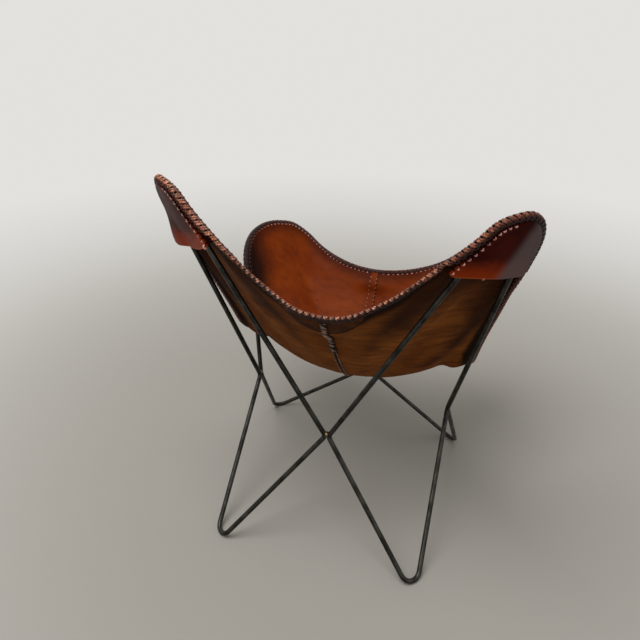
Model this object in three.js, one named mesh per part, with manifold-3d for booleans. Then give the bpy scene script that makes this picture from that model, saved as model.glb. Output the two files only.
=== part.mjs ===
// Butterfly sling chair: a welded frame of bent round rod, and a thick leather sling of two panels that
// hangs by four pockets on the four hoops of the frame. Millimetres, +Z up. The front of the chair faces
// -Y, its left side is +X, and the origin is on the floor under the middle of the chair's plan.
import * as THREE from 'three';
import { mergeVertices } from 'three/addons/utils/BufferGeometryUtils.js';
import Module from 'manifold-3d';

const wasm = await Module();
wasm.setup();

// Rod.
const rodDiameter = 12;
const rodSides = 12;
const bendStepsPerTurn = 28;
const kinkRadius = 14;
const footRadius = 26;
const footFlat = 0.5;
const weldDiameter = 13;
const weldRise = 7;
const weldRoot = 3.5;
const ballSides = 12;
const ballRings = 8;

// Clearance between two pieces that touch.
const clearance = 0.3;

// Frame. Half widths are from the middle of the chair, depths are forward of the back feet, heights are
// above the floor. Each corner of the frame is one kinked loop of rod: a hoop above and a foot below.
const backFootHalfWidth = 252;
const frontFootHalfWidth = 294;
const footSpacing = 564;
const backCrossingDepth = 133;
const backCrossingHeight = 288;
const frontCrossingDepth = 594;
const frontCrossingHeight = 183;
const sideCrossingHalfWidth = 257;
const sideCrossingDepth = 364;
const sideCrossingHeight = 258;

// The straight legs of a hoop aim at a point above it. The round tip lies a drop below that point.
const backAimHalfWidth = 392;
const backAimDepth = 72;
const backAimHeight = 1025;
const backTipDrop = 190;
const frontAimFlare = 98;
const frontAimDepth = 824;
const frontAimHeight = 911;
const frontTipDrop = 407;

// Leather.
const leatherThickness = 4;
const backEdgeDepth = 80;
const backEdgeHeight = 633;
const frontEdgeDepth = 638;
const frontEdgeHeight = 492;
const seatDepth = 385;
const seatHeight = 312;

// Rim of the sling: the flat laced margin, where the leather has risen over the rod, and where the
// margin ends and the body of the panel starts.
const lacedMargin = 5.5;
const rodReach = 14;
const marginWidth = 24;
const rodCover = 1;
const pocketBelly = 3;
const laceThickness = 1.3;
const laceDepth = 4.4;

// Seam strap inside the seat, lacing of the seam outside, and the half-moon under the back edge.
const strapWidth = 16;
const strapThickness = 2.5;
const seamLaceWidth = 11;
const seamLaceThickness = 2.5;
const patchHalfWidth = 84;
const patchDepth = 52;
const patchThickness = 2.5;
const patchGap = 0.9;
const strapGap = 0.9;
const strapCrease = 0.9;

const rodRadius = rodDiameter / 2;
const halfGap = clearance / 2;
const mirrorX = new THREE.Vector3(-1, 1, 1);

const point = (x, depth, z) => new THREE.Vector3(x, -depth, z);
const mix = (a, b, share) => a.clone().lerp(b, share);
const along = (from, direction, distance) => from.clone().addScaledVector(direction, distance);
const ease = (x) => THREE.MathUtils.smoothstep(x, 0, 1);

// Round bend at vertex v between the straight runs to a and b, as stations with a place and a heading.
function bendAt(a, v, b, radius) {
  const toA = a.clone().sub(v).normalize();
  const toB = b.clone().sub(v).normalize();
  const angle = toA.angleTo(toB);
  const middle = toA.clone().add(toB).normalize();
  const centre = along(v, middle, radius / Math.sin(angle / 2));
  const axis = toB.clone().cross(toA).normalize();
  const turn = Math.PI - angle;
  const count = 2 * Math.max(1, Math.round((turn * bendStepsPerTurn) / (4 * Math.PI)));
  const start = along(v, toA, radius / Math.tan(angle / 2)).sub(centre);
  const stations = [];
  for (let i = 0; i <= count; i += 1) {
    const around = (turn * i) / count;
    stations.push({
      place: start.clone().applyAxisAngle(axis, around).add(centre),
      heading: toA.clone().negate().applyAxisAngle(axis, around),
    });
  }
  return stations;
}

// A rod's centreline, given station by station, so that straight runs take one step.
class RodLine extends THREE.Curve {
  constructor(stations) {
    super();
    this.stations = stations;
  }

  station(share) {
    return this.stations[Math.round(share * (this.stations.length - 1))];
  }

  getPoint(share) {
    return this.station(share).place.clone();
  }

  getPointAt(share) {
    return this.getPoint(share);
  }

  getTangentAt(share) {
    return this.station(share).heading.clone();
  }
}

// Round rod, as a polygon swept along its line.
function roundSection(radius) {
  const corners = [];
  for (let i = 0; i < rodSides; i += 1) {
    const around = (2 * Math.PI * i) / rodSides;
    corners.push(new THREE.Vector2(radius * Math.cos(around), radius * Math.sin(around)));
  }
  return new THREE.Shape(corners);
}

function rodGeometry(stations, radius = rodRadius) {
  return new THREE.ExtrudeGeometry(roundSection(radius), {
    steps: stations.length - 1,
    extrudePath: new RodLine(stations),
  });
}

// Both ends of a rod stop short of the joint by half a clearance.
function trimmed(stations) {
  const first = stations[0];
  const last = stations[stations.length - 1];
  first.place.addScaledVector(first.heading, halfGap);
  last.place.addScaledVector(last.heading, -halfGap);
  return stations;
}

// Moves one coordinate of a vertex until the bend there just reaches a wanted level.
function settle(vertex, axis, side, level, bend) {
  for (let round = 0; round < 12; round += 1) {
    const reach = bend().map((station) => side * station.place[axis]);
    vertex[axis] += level - side * Math.min(...reach);
  }
}

// Corner of the frame on the left side of the chair: one closed loop of rod.
const backLoop = {
  foot: point(backFootHalfWidth, 0, 0),
  middle: point(0, backCrossingDepth, backCrossingHeight),
  side: point(sideCrossingHalfWidth, sideCrossingDepth, sideCrossingHeight),
  aim: point(backAimHalfWidth, backAimDepth, backAimHeight),
};
const frontLoop = {
  foot: point(frontFootHalfWidth, footSpacing, 0),
  middle: point(0, frontCrossingDepth, frontCrossingHeight),
  side: point(sideCrossingHalfWidth, sideCrossingDepth, sideCrossingHeight),
  aim: point(backAimHalfWidth + frontAimFlare, frontAimDepth, frontAimHeight),
};

// The feet stand on the floor and neighbouring loops touch side by side at the crossings.
const touching = rodRadius + halfGap;
for (let round = 0; round < 3; round += 1) {
  for (const [loop, side] of [[backLoop, 1], [frontLoop, -1]]) {
    const { foot, middle, side: flank, aim } = loop;
    settle(foot, 'z', 1, rodRadius - footFlat, () => bendAt(flank, foot, middle, footRadius));
    settle(middle, 'x', 1, touching, () => bendAt(foot, middle, aim, kinkRadius));
    const flankLevel = side * touching - sideCrossingDepth;
    settle(flank, 'y', side, flankLevel, () => bendAt(aim, flank, foot, kinkRadius));
  }
}

const seatPoint = point(0, seatDepth, seatHeight);

// A hoop's own directions: across it from the middle leg to the side leg, up to its tip, and inward.
function hoopFrame(loop, tipDrop) {
  const toMiddle = loop.middle.clone().sub(loop.aim).normalize();
  const toSide = loop.side.clone().sub(loop.aim).normalize();
  const up = toMiddle.clone().add(toSide).normalize().negate();
  const across = toSide.clone().sub(toMiddle).normalize();
  const inward = up.clone().cross(across).normalize();
  if (inward.dot(seatPoint.clone().sub(loop.aim)) < 0) inward.negate();
  const length = -mix(loop.middle, loop.side, 0.5).sub(loop.aim).dot(up);
  const width = loop.side.clone().sub(loop.middle).dot(across);
  const place = (x, y, z) => along(along(along(loop.aim, across, x), up, -y), inward, z);
  // The same by shares: of the hoop's width, of the run below its tip, and of its length.
  const spot = (x, y, z) => place(x * width, tipDrop + y * (length - tipDrop), z * length);
  return { up, across, inward, tipDrop, place, spot, aim: loop.aim };
}

const backHoop = hoopFrame(backLoop, backTipDrop);
const frontHoop = hoopFrame(frontLoop, frontTipDrop);

// Round tip of a hoop: an arc of a circle that its two straight legs touch.
function tipArc(loop, hoop) {
  const legTilt = loop.middle.clone().sub(loop.aim).angleTo(hoop.up.clone().negate());
  const radius = (hoop.tipDrop * Math.sin(legTilt)) / (1 - Math.sin(legTilt));
  const centre = hoop.place(0, hoop.tipDrop + radius, 0);
  const turn = Math.PI - 2 * legTilt;
  const count = Math.round((turn * bendStepsPerTurn) / (2 * Math.PI)) + 2;
  const stations = [];
  for (let i = 0; i <= count; i += 1) {
    const around = Math.PI - legTilt - (turn * i) / count;
    const place = along(centre, hoop.across, radius * Math.cos(around));
    place.addScaledVector(hoop.up, radius * Math.sin(around));
    const heading = hoop.across.clone().multiplyScalar(Math.sin(around));
    heading.addScaledVector(hoop.up, -Math.cos(around));
    stations.push({ place, heading });
  }
  return stations;
}

const secondHalf = (stations) => stations.slice((stations.length - 1) / 2);
const firstHalf = (stations) => stations.slice(0, (stations.length + 1) / 2);

function hoopStations(loop, hoop) {
  const { foot, middle, side, aim } = loop;
  return trimmed([
    ...secondHalf(bendAt(foot, middle, aim, kinkRadius)),
    ...tipArc(loop, hoop),
    ...firstHalf(bendAt(aim, side, foot, kinkRadius)),
  ]);
}

function footStations(loop) {
  const { foot, middle, side, aim } = loop;
  return trimmed([
    ...secondHalf(bendAt(aim, side, foot, kinkRadius)),
    ...bendAt(side, foot, middle, footRadius),
    ...firstHalf(bendAt(foot, middle, aim, kinkRadius)),
  ]);
}

const backHoopLine = hoopStations(backLoop, backHoop);
const frontHoopLine = hoopStations(frontLoop, frontHoop);

// Solids for cutting and joining.
function toSolid(geometry) {
  const plain = geometry.clone();
  plain.deleteAttribute('normal');
  plain.deleteAttribute('uv');
  const merged = mergeVertices(plain);
  return new wasm.Manifold(new wasm.Mesh({
    numProp: 3,
    vertProperties: new Float32Array(merged.attributes.position.array),
    triVerts: new Uint32Array(merged.index.array),
  }));
}

function fromSolid(solid) {
  const mesh = solid.getMesh();
  const geometry = new THREE.BufferGeometry();
  geometry.setAttribute('position', new THREE.BufferAttribute(mesh.vertProperties, 3));
  geometry.setIndex(new THREE.BufferAttribute(mesh.triVerts, 1));
  return geometry;
}

// The same piece on the right side of the chair.
function mirrored(geometry) {
  const copy = geometry.index ? geometry.toNonIndexed() : geometry.clone();
  const places = copy.attributes.position;
  for (let i = 0; i < places.count; i += 3) {
    const corners = [i, i + 2, i + 1].map((k) => new THREE.Vector3().fromBufferAttribute(places, k));
    corners.forEach((corner, k) => places.setXYZ(i + k, -corner.x, corner.y, corner.z));
  }
  return copy;
}

// Each foot has a small flat on the floor.
const floorSize = 8 * footRadius;
function footGeometry(loop) {
  const under = new THREE.BoxGeometry(floorSize, floorSize, floorSize);
  under.translate(loop.foot.x, loop.foot.y, -floorSize / 2);
  return fromSolid(toSolid(rodGeometry(footStations(loop))).subtract(toSolid(under)));
}

// Notch where two hoops part above a crossing, halfway between their legs.
function notchAbove(crossing, aims) {
  const rise = new THREE.Vector3();
  for (const aim of aims) rise.add(aim.clone().sub(crossing).normalize());
  return along(crossing, rise.normalize(), weldRise);
}

function ballAt(centre, radius) {
  const ball = new THREE.SphereGeometry(radius, ballSides, ballRings);
  return toSolid(ball.translate(centre.x, centre.y, centre.z));
}

// Weld bead in the notch above a crossing, shaped to the rods it joins. It stops short of the place
// where the rods touch each other.
function weldGeometry(crossing, aims, rods) {
  let bead = ballAt(notchAbove(crossing, aims), weldDiameter / 2);
  bead = bead.subtract(ballAt(crossing, weldRoot));
  for (const rod of rods) bead = bead.subtract(rod);
  const pieces = bead.decompose();
  pieces.sort((a, b) => b.volume() - a.volume());
  return fromSolid(pieces[0]);
}

// Half outline of the sling from the middle of the back edge to the middle of the front edge. The
// points between are shares of their hoop: of its width across it, of the run below its tip, and of its
// length inward. The last figure says how far the margin is held in the plane of the hoop, where a
// pocket is laced on.
const backHoopShares = [
  [-0.617, 0.428, 0.074, 0],
  [-0.470, 0.339, 0.046, 0.3],
  [-0.357, 0.203, 0.015, 1],
  [-0.286, 0.122, 0.005, 1],
  [-0.207, 0.059, 0.001, 1],
  [-0.133, -0.008, 0, 1],
  [-0.033, -0.033, 0, 1],
  [0.060, -0.038, 0, 1],
  [0.153, -0.014, 0, 1],
  [0.222, 0.035, 0, 1],
  [0.260, 0.092, 0, 1],
  [0.279, 0.155, 0, 1],
  [0.300, 0.217, 0, 1],
  [0.334, 0.304, 0.010, 0.5],
  [0.385, 0.415, 0.018, 0],
  [0.435, 0.525, 0.025, 0],
  [0.487, 0.630, 0.031, 0],
  [0.540, 0.718, 0.037, 0],
];
const frontHoopShares = [
  [0.528, 0.598, 0.047, 0],
  [0.450, 0.543, 0.016, 0.3],
  [0.398, 0.416, 0.006, 1],
  [0.373, 0.295, 0, 1],
  [0.348, 0.176, 0, 1],
  [0.298, 0.086, 0, 1],
  [0.219, 0.017, 0, 1],
  [0.117, -0.023, 0, 1],
  [0.017, -0.036, 0, 1],
  [-0.085, -0.029, 0, 1],
  [-0.196, -0.004, 0, 1],
  [-0.308, 0.079, 0.002, 1],
  [-0.378, 0.199, 0.022, 1],
  [-0.428, 0.293, 0.060, 0.3],
  [-0.485, 0.399, 0.125, 0],
];

const rimKnots = [
  { place: point(0, backEdgeDepth, backEdgeHeight), hold: 0 },
  ...backHoopShares.map(([x, y, z, hold]) => ({ place: backHoop.spot(x, y, z), hold })),
  ...frontHoopShares.map(([x, y, z, hold]) => ({ place: frontHoop.spot(x, y, z), hold })),
  { place: point(0, frontEdgeDepth, frontEdgeHeight), hold: 0 },
];
const lastKnot = rimKnots.length - 1;
const sideKnot = backHoopShares.length + 1;

// Knots near which each pocket starts and ends, and the tips of the hoops.
const backPocketKnotCounts = [3.5, 13];
const frontPocketKnotCounts = [21.5, 30.5];
const backTipKnotCount = 8;
const frontTipKnotCount = 27;

const rimCurve = new THREE.CatmullRomCurve3([
  rimKnots[1].place.clone().multiply(mirrorX),
  ...rimKnots.map((knot) => knot.place),
  rimKnots[lastKnot - 1].place.clone().multiply(mirrorX),
], false, 'centripetal');
const rimShare = (knot) => (knot + 1) / (lastKnot + 2);
const rimPlace = (knot) => rimCurve.getPoint(rimShare(knot));
const rimHeading = (knot) => {
  const heading = rimCurve.getTangent(rimShare(knot));
  if (knot <= 0 || knot >= lastKnot) heading.set(Math.sign(heading.x), 0, 0);
  return heading;
};
function rimHold(knot) {
  const i = Math.min(Math.floor(knot), lastKnot - 1);
  return THREE.MathUtils.lerp(rimKnots[i].hold, rimKnots[i + 1].hold, ease(knot - i));
}

// The panel runs from the lowest point of the seam out to the rim. Five guides say how it does so: the
// knot where each holds, the point that the leather runs towards, and the shares of the run that keep
// level at the seat and straight at the rim.
const backRun = backEdgeHeight - seatHeight;
const frontRun = frontEdgeHeight - seatHeight;
const backSpan = seatDepth - backEdgeDepth;
const frontSpan = frontEdgeDepth - seatDepth;
const backSeamShares = [0.30, 0.56];
const frontSeamShares = [0.69, 0.61];
const sideSlopeShares = [0.62, 0.05];
const backPocketRunShare = 0.66;
const frontPocketRunShare = 0.54;
const sideRim = rimKnots[sideKnot].place;
const guides = [
  {
    knot: 0,
    toward: point(
      0, backEdgeDepth + backSpan * backSeamShares[0], backEdgeHeight - backRun * backSeamShares[1],
    ),
    level: 0.19,
    straight: 0.23,
    lift: 0,
  },
  {
    knot: backTipKnotCount,
    toward: backHoop.spot(0, backPocketRunShare, 0),
    level: 0.19,
    straight: 0.50,
    lift: 0.09,
  },
  {
    knot: sideKnot,
    toward: new THREE.Vector3(
      sideRim.x * sideSlopeShares[0], sideRim.y, seatHeight + (sideRim.z - seatHeight) * sideSlopeShares[1],
    ),
    level: 0.40,
    straight: 0.42,
    lift: 0,
  },
  {
    knot: frontTipKnotCount,
    toward: frontHoop.spot(0, frontPocketRunShare, 0),
    level: 0.25,
    straight: 0.45,
    lift: 0.10,
  },
  {
    knot: lastKnot,
    toward: point(
      0, frontEdgeDepth - frontSpan * frontSeamShares[0], frontEdgeHeight - frontRun * frontSeamShares[1],
    ),
    level: 0.33,
    straight: 0.30,
    lift: 0,
  },
];

function guideAt(knot) {
  const after = guides.findIndex((guide) => guide.knot >= knot);
  const b = guides[Math.max(after, 1)];
  const a = guides[Math.max(after, 1) - 1];
  const share = ease((knot - a.knot) / (b.knot - a.knot));
  return {
    toward: mix(a.toward, b.toward, share),
    level: THREE.MathUtils.lerp(a.level, b.level, share),
    straight: THREE.MathUtils.lerp(a.straight, b.straight, share),
    lift: THREE.MathUtils.lerp(a.lift, b.lift, share),
  };
}

// Height of the leather over the middle of the rim stack, as it rises from the laced margin over the rod.
const marginLift = (leatherThickness + clearance) / 2;
const rodLift = rodRadius + clearance + leatherThickness / 2 + rodCover;
function riseOverRod(distance) {
  const share = THREE.MathUtils.clamp((distance - lacedMargin) / (rodReach - lacedMargin), 0, 1);
  return THREE.MathUtils.lerp(marginLift, rodLift, share);
}

// Rim station: its place, heading, the way into the leather and the way to the sitter.
function rimStation(knot) {
  const place = rimPlace(knot);
  const guide = guideAt(knot);
  const hold = rimHold(knot);
  const hoop = knot < sideKnot ? backHoop : frontHoop;
  const heading = rimHeading(knot);
  heading.addScaledVector(hoop.inward, -hold * heading.dot(hoop.inward)).normalize();
  const into = guide.toward.clone().sub(place);
  into.addScaledVector(hoop.inward, -hold * into.dot(hoop.inward));
  into.addScaledVector(heading, -into.dot(heading)).normalize();
  const inward = into.clone().cross(heading).normalize();
  const square = into.clone().cross(rimHeading(knot)).normalize();
  return { knot, place, heading, into, inward, square, guide, hold, hoop };
}

// Middle of the leather's thickness in the margin, at a distance in from the rim.
function marginPoint(station, distance) {
  const lifted = along(station.place, station.into, distance);
  return lifted.addScaledVector(station.inward, station.hold * riseOverRod(distance));
}

// Middle of the leather's thickness on the straight way between the seat point (share 0) and the margin
// (share 1), before the leather evens out the waves of its rim.
function runPoint(station, share) {
  const end = marginPoint(station, marginWidth);
  const run = station.place.distanceTo(seatPoint);
  const level = end.clone().sub(seatPoint).setZ(0).normalize();
  const arrive = station.guide.toward.clone().sub(end);
  arrive.addScaledVector(station.hoop.inward, -station.hold * arrive.dot(station.hoop.inward));
  arrive.normalize().addScaledVector(station.inward, station.guide.lift);
  const curve = new THREE.CubicBezierCurve3(
    seatPoint,
    along(seatPoint, level, station.guide.level * run),
    along(end, arrive, station.guide.straight * run),
    end,
  );
  return curve.getPoint(share);
}

// The body of the panel: the waves of the rim die out a short way in from it. Past the middle of the
// chair the other panel's points are used.
const evenOutKnotCount = 2.2;
const evenOutShare = 0.3;
const evenOutShares = [[-1, 0.25], [-0.5, 0.25], [0, 0], [0.5, 0.25], [1, 0.25]];
function bodyPoint(station, share) {
  const spread = evenOutKnotCount * ease((1 - share) / evenOutShare);
  const place = new THREE.Vector3();
  for (const [step, weight] of evenOutShares) {
    let knot = station.knot + step * spread;
    const beyond = knot < 0 || knot > lastKnot;
    if (knot < 0) knot = -knot;
    if (knot > lastKnot) knot = 2 * lastKnot - knot;
    const spot = runPoint(rimStation(knot), share);
    place.addScaledVector(beyond ? spot.multiply(mirrorX) : spot, weight);
  }
  return place;
}

// Panel surface by one number: below 1 the body, and from 1 the margin out to the rim.
const rimRow = 2;
function panelPoint(station, row) {
  if (row <= 1) return bodyPoint(station, row);
  return marginPoint(station, marginWidth * (rimRow - row));
}

// Stations round the half rim. Every piece of the sling uses the same ones, so that pieces laid on each
// other keep their gap.
const bodyRowShares = [0, 0.2, 0.4, 0.58, 0.74, 0.88, 1];
const marginStops = [rodReach, (rodReach + lacedMargin) / 2, lacedMargin, 0];
const marginRowShares = marginStops.map((distance) => rimRow - distance / marginWidth);
const panelRowShares = [...bodyRowShares, ...marginRowShares];
const knotCounts = [
  0, 1, 2, 2.8, backPocketKnotCounts[0], 4.2, 5, 5.7, 6.4, 7.1, 7.8, 8.5, 9.2, 9.9, 10.8, 12,
  backPocketKnotCounts[1], 14, 15, 16, 16.6, 17.3, 18, 18.5, 19, 19.5, 20, 20.8,
  frontPocketKnotCounts[0], 22.4, 23.2, 24, 24.8, 25.6, 26.4, 27.2, 28, 28.8, 29.6,
  frontPocketKnotCounts[1], 31.1, 31.6, 32, 33, lastKnot,
];
const rimStations = knotCounts.map(rimStation);
const stationsBetween = ([from, to]) => rimStations.filter((s) => s.knot >= from && s.knot <= to);

// Closed sheet between two skins, each a list of rows of points. Points that fall together make no
// triangle.
function closedSheet(top, bottom) {
  const rows = top.length;
  const columns = top[0].length;
  const triangles = [];
  const key = (p) => `${p.x.toFixed(4)},${p.y.toFixed(4)},${p.z.toFixed(4)}`;
  const add = (a, b, c) => {
    if (new Set([key(a), key(b), key(c)]).size === 3) triangles.push(a, b, c);
  };
  const quad = (a, b, c, d) => {
    add(a, b, c);
    add(a, c, d);
  };
  for (let i = 0; i + 1 < rows; i += 1) {
    for (let j = 0; j + 1 < columns; j += 1) {
      quad(top[i][j], top[i + 1][j], top[i + 1][j + 1], top[i][j + 1]);
      quad(bottom[i][j], bottom[i][j + 1], bottom[i + 1][j + 1], bottom[i + 1][j]);
    }
  }
  for (let i = 0; i + 1 < rows; i += 1) {
    quad(top[i][0], bottom[i][0], bottom[i + 1][0], top[i + 1][0]);
    const j = columns - 1;
    quad(top[i][j], top[i + 1][j], bottom[i + 1][j], bottom[i][j]);
  }
  for (let j = 0; j + 1 < columns; j += 1) {
    quad(top[0][j], top[0][j + 1], bottom[0][j + 1], bottom[0][j]);
    const i = rows - 1;
    quad(top[i][j], bottom[i][j], bottom[i][j + 1], top[i][j + 1]);
  }
  return new THREE.BufferGeometry().setFromPoints(triangles);
}

// Two skins of a sheet, half its thickness to each side of a surface of knot and row.
function skins(surface, knots, rows, thickness, first, last) {
  const step = 1e-3;
  const normal = (knot, row) => {
    const k = THREE.MathUtils.clamp(knot, first + step, last - step);
    const r = THREE.MathUtils.clamp(row, step * 2, rimRow - step);
    const du = surface(k + step, r).sub(surface(k - step, r));
    const dv = surface(k, r + step).sub(surface(k, r - step));
    return du.cross(dv).normalize();
  };
  const middles = knots.map((knot) => rows.map((row) => surface(knot, row)));
  const normals = knots.map((knot) => rows.map((row) => normal(knot, row)));
  return [1, -1].map((side) => middles.map((line, i) => line.map((place, j) => (
    along(place, normals[i][j], (side * thickness) / 2)
  ))));
}

// The left panel. Its seam side is flat, half a clearance from the middle of the chair.
const knotsOf = (stations) => stations.map((station) => station.knot);
const panelSurface = (knot, row) => panelPoint(rimStation(knot), row);
const panelSkins = skins(panelSurface, knotCounts, panelRowShares, leatherThickness, 0, lastKnot);
for (const [skin, side] of panelSkins.map((lines, i) => [lines, 1 - 2 * i])) {
  for (const line of skin) line[0].set(halfGap, seatPoint.y, seatPoint.z + (side * leatherThickness) / 2);
  for (const line of [skin[0], skin[skin.length - 1]]) {
    for (const place of line) place.setX(halfGap);
  }
}
const panelGeometry = closedSheet(...panelSkins);

// A pocket lies on the other side of the rod: laced to the panel's margin, round the rod and across.
const pocketRowShares = [0, 0.35, 0.7, 1, ...marginRowShares];
function pocketGeometry(hoop, range) {
  const stations = stationsBetween(range);
  const outOf = (place) => place.clone().sub(hoop.aim).dot(hoop.inward);
  const onPlane = (station, distance) => {
    const place = along(station.place, station.into, distance);
    return along(place, hoop.inward, -outOf(place));
  };
  const ends = range.map((knot) => onPlane(rimStation(knot), marginWidth));
  const centre = mix(ends[0], ends[1], 0.5);
  const surface = (knot, row) => {
    const station = rimStation(knot);
    if (row <= 1) {
      const place = mix(centre, onPlane(station, marginWidth), row);
      return along(place, hoop.inward, -rodLift - pocketBelly * (1 - row * row));
    }
    const distance = marginWidth * (rimRow - row);
    const share = (riseOverRod(distance) - marginLift) / (rodLift - marginLift);
    const place = along(station.place, station.into, distance);
    const drop = THREE.MathUtils.lerp(marginLift, rodLift + outOf(place), share);
    return along(place, hoop.inward, -drop);
  };
  const knots = knotsOf(stations);
  const [top, bottom] = skins(surface, knots, pocketRowShares, leatherThickness, range[0], range[1]);
  for (const [skin, side] of [[top, 1], [bottom, -1]]) {
    const level = -rodLift - pocketBelly + (side * leatherThickness) / 2;
    for (const line of skin) line[0].copy(along(centre, hoop.inward, level));
  }
  return closedSheet(top, bottom);
}

// Lacing wraps the rim: a channel over the edge of the leather. Its slot is as wide as the leather is
// thick there, one layer on an open edge and two at a pocket.
function laceSection(slotHalf) {
  const edge = -clearance;
  const outside = edge - laceThickness;
  const out = slotHalf + laceThickness;
  return [
    [outside, -out], [laceDepth, -out], [laceDepth, -slotHalf], [edge, -slotHalf],
    [edge, slotHalf], [laceDepth, slotHalf], [laceDepth, out], [outside, out],
  ].map(([into, square]) => new THREE.Vector2(into, square));
}
function laceRing(station, slotHalf, rise, x = 1) {
  const base = along(station.place, station.inward, rise);
  return laceSection(slotHalf).map((corner) => {
    const place = along(along(base, station.into, corner.x), station.square, corner.y);
    return x < 0 ? place.multiply(mirrorX) : place;
  });
}

// The faces are split into triangles the same way as the leather beside them, so that the gap holds
// where the rim twists.
function channelGeometry(rings) {
  const triangles = [];
  const corners = rings[0].length;
  for (let i = 0; i + 1 < rings.length; i += 1) {
    const onLeft = rings[i][0].x + rings[i + 1][0].x > 0;
    for (let j = 0; j < corners; j += 1) {
      const next = (j + 1) % corners;
      const [a, b, c, d] = [rings[i][j], rings[i][next], rings[i + 1][next], rings[i + 1][j]];
      const runsOut = j % 4 === 2;
      if (runsOut === onLeft) triangles.push(a, c, b, a, d, c);
      else triangles.push(a, d, b, b, d, c);
    }
  }
  const last = rings[rings.length - 1];
  for (const [a, b, c] of THREE.ShapeUtils.triangulateShape(laceSection(laceDepth), [])) {
    triangles.push(rings[0][a], rings[0][b], rings[0][c]);
    triangles.push(last[a], last[c], last[b]);
  }
  return new THREE.BufferGeometry().setFromPoints(triangles);
}

function shifted(station, distance) {
  return { ...station, place: along(station.place, station.heading, distance) };
}

function laceStations(range) {
  const stations = stationsBetween(range);
  const last = stations.length - 1;
  stations[0] = shifted(stations[0], clearance);
  stations[last] = shifted(stations[last], -clearance);
  return stations;
}

const openSlot = leatherThickness / 2 + 2 * clearance;
const pocketSlot = marginLift + leatherThickness / 2 + clearance;
const openRing = (station, x) => laceRing(station, openSlot, station.hold * marginLift, x);
const pocketLacing = (range) => channelGeometry(laceStations(range).map((s) => laceRing(s, pocketSlot, 0)));
const sideLacing = (range) => channelGeometry(laceStations(range).map((s) => openRing(s, 1)));

// Lacing that crosses the middle of the chair, from the right side to the left side.
function crossLacing(stations, order) {
  const right = stations.slice().reverse().map((s) => openRing(s, -1));
  const left = stations.map((s) => openRing(s, 1));
  const rings = [...right.slice(0, -1), ...left];
  return channelGeometry(order > 0 ? rings : rings.reverse());
}
const backEdgeStations = stationsBetween([0, backPocketKnotCounts[0]]);
const frontEdgeStations = stationsBetween([frontPocketKnotCounts[1], lastKnot]).reverse();
backEdgeStations.push(shifted(backEdgeStations.pop(), -clearance));
frontEdgeStations.push(shifted(frontEdgeStations.pop(), clearance));

// Strips along the seam, from the back rim down to the seat and up to the front rim.
const seamRowShares = [
  rimRow - (laceDepth + lacedMargin) / marginWidth / 2,
  ...bodyRowShares.slice(1).reverse(),
];
function seamLine(offset) {
  const first = rimStation(0);
  const last = rimStation(lastKnot);
  const places = [
    ...seamRowShares.map((row) => panelPoint(first, row).setX(0)),
    seatPoint.clone(),
    ...seamRowShares.slice().reverse().map((row) => panelPoint(last, row).setX(0)),
  ];
  return places.map((place, i) => {
    const before = places[Math.max(i - 1, 0)];
    const after = places[Math.min(i + 1, places.length - 1)];
    const run = after.clone().sub(before).normalize();
    const square = new THREE.Vector3(0, -run.z, run.y);
    if (square.z < 0) square.negate();
    return { place: along(place, square, offset), square };
  });
}

// The strap inside is creased a little along its middle, as the leather is there.
function stripGeometry(line, width, thickness, crease) {
  const skin = (side) => line.map(({ place, square }) => [-1, 0, 1].map((x) => (
    along(place, square, (side * thickness) / 2 + Math.abs(x) * crease).setX((x * width) / 2)
  )));
  return closedSheet(skin(1), skin(-1));
}
const strapLine = seamLine(leatherThickness / 2 + strapGap + strapThickness / 2);
const seamLaceLine = seamLine(-leatherThickness / 2 - strapGap - seamLaceThickness / 2);
const patchShare = (patchDepth + laceDepth) / backRun;
const seamLaceStart = seamLaceLine.findIndex(({ place }) => place.z < backEdgeHeight - patchShare * backRun);

// Half-moon of leather under the back edge, laid on the outside of both panels across the seam.
const patchKnotCounts = [-1.55, -1.42, -1.15, -0.8, -0.4, 0, 0.4, 0.8, 1.15, 1.42, 1.55];
const patchInnerKnotCount = 1.4;
const patchRowShares = [0, 0.25, 0.5, 0.75, 1];
function leatherPoint(station, distance) {
  if (distance <= marginWidth) return marginPoint(station, distance);
  const speed = 3 * station.guide.straight * station.place.distanceTo(seatPoint);
  return bodyPoint(station, 1 - (distance - marginWidth) / speed);
}
function patchPoint(knot, share) {
  const station = rimStation(Math.abs(knot));
  const start = laceDepth + patchGap;
  const reach = THREE.MathUtils.clamp(station.place.x / patchHalfWidth, 0, 1);
  const depth = start + (patchDepth - start) * Math.sqrt(1 - reach * reach);
  const place = leatherPoint(station, THREE.MathUtils.lerp(start, depth, share));
  return knot < 0 ? place.multiply(mirrorX) : place;
}
function patchGeometry() {
  const outside = leatherThickness / 2 + patchGap;
  const square = (knot, share) => {
    const step = 0.02;
    const inset = THREE.MathUtils.clamp(knot, -patchInnerKnotCount, patchInnerKnotCount);
    const du = patchPoint(inset + step, share).sub(patchPoint(inset - step, share));
    const dv = patchPoint(inset, share + step).sub(patchPoint(inset, share - step));
    const normal = du.cross(dv).normalize();
    return normal.z < 0 ? normal.negate() : normal;
  };
  const skin = (offset) => patchKnotCounts.map((knot) => patchRowShares.map((share) => (
    along(patchPoint(knot, share), square(knot, share), -offset)
  )));
  return closedSheet(skin(outside + patchThickness), skin(outside));
}

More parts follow.
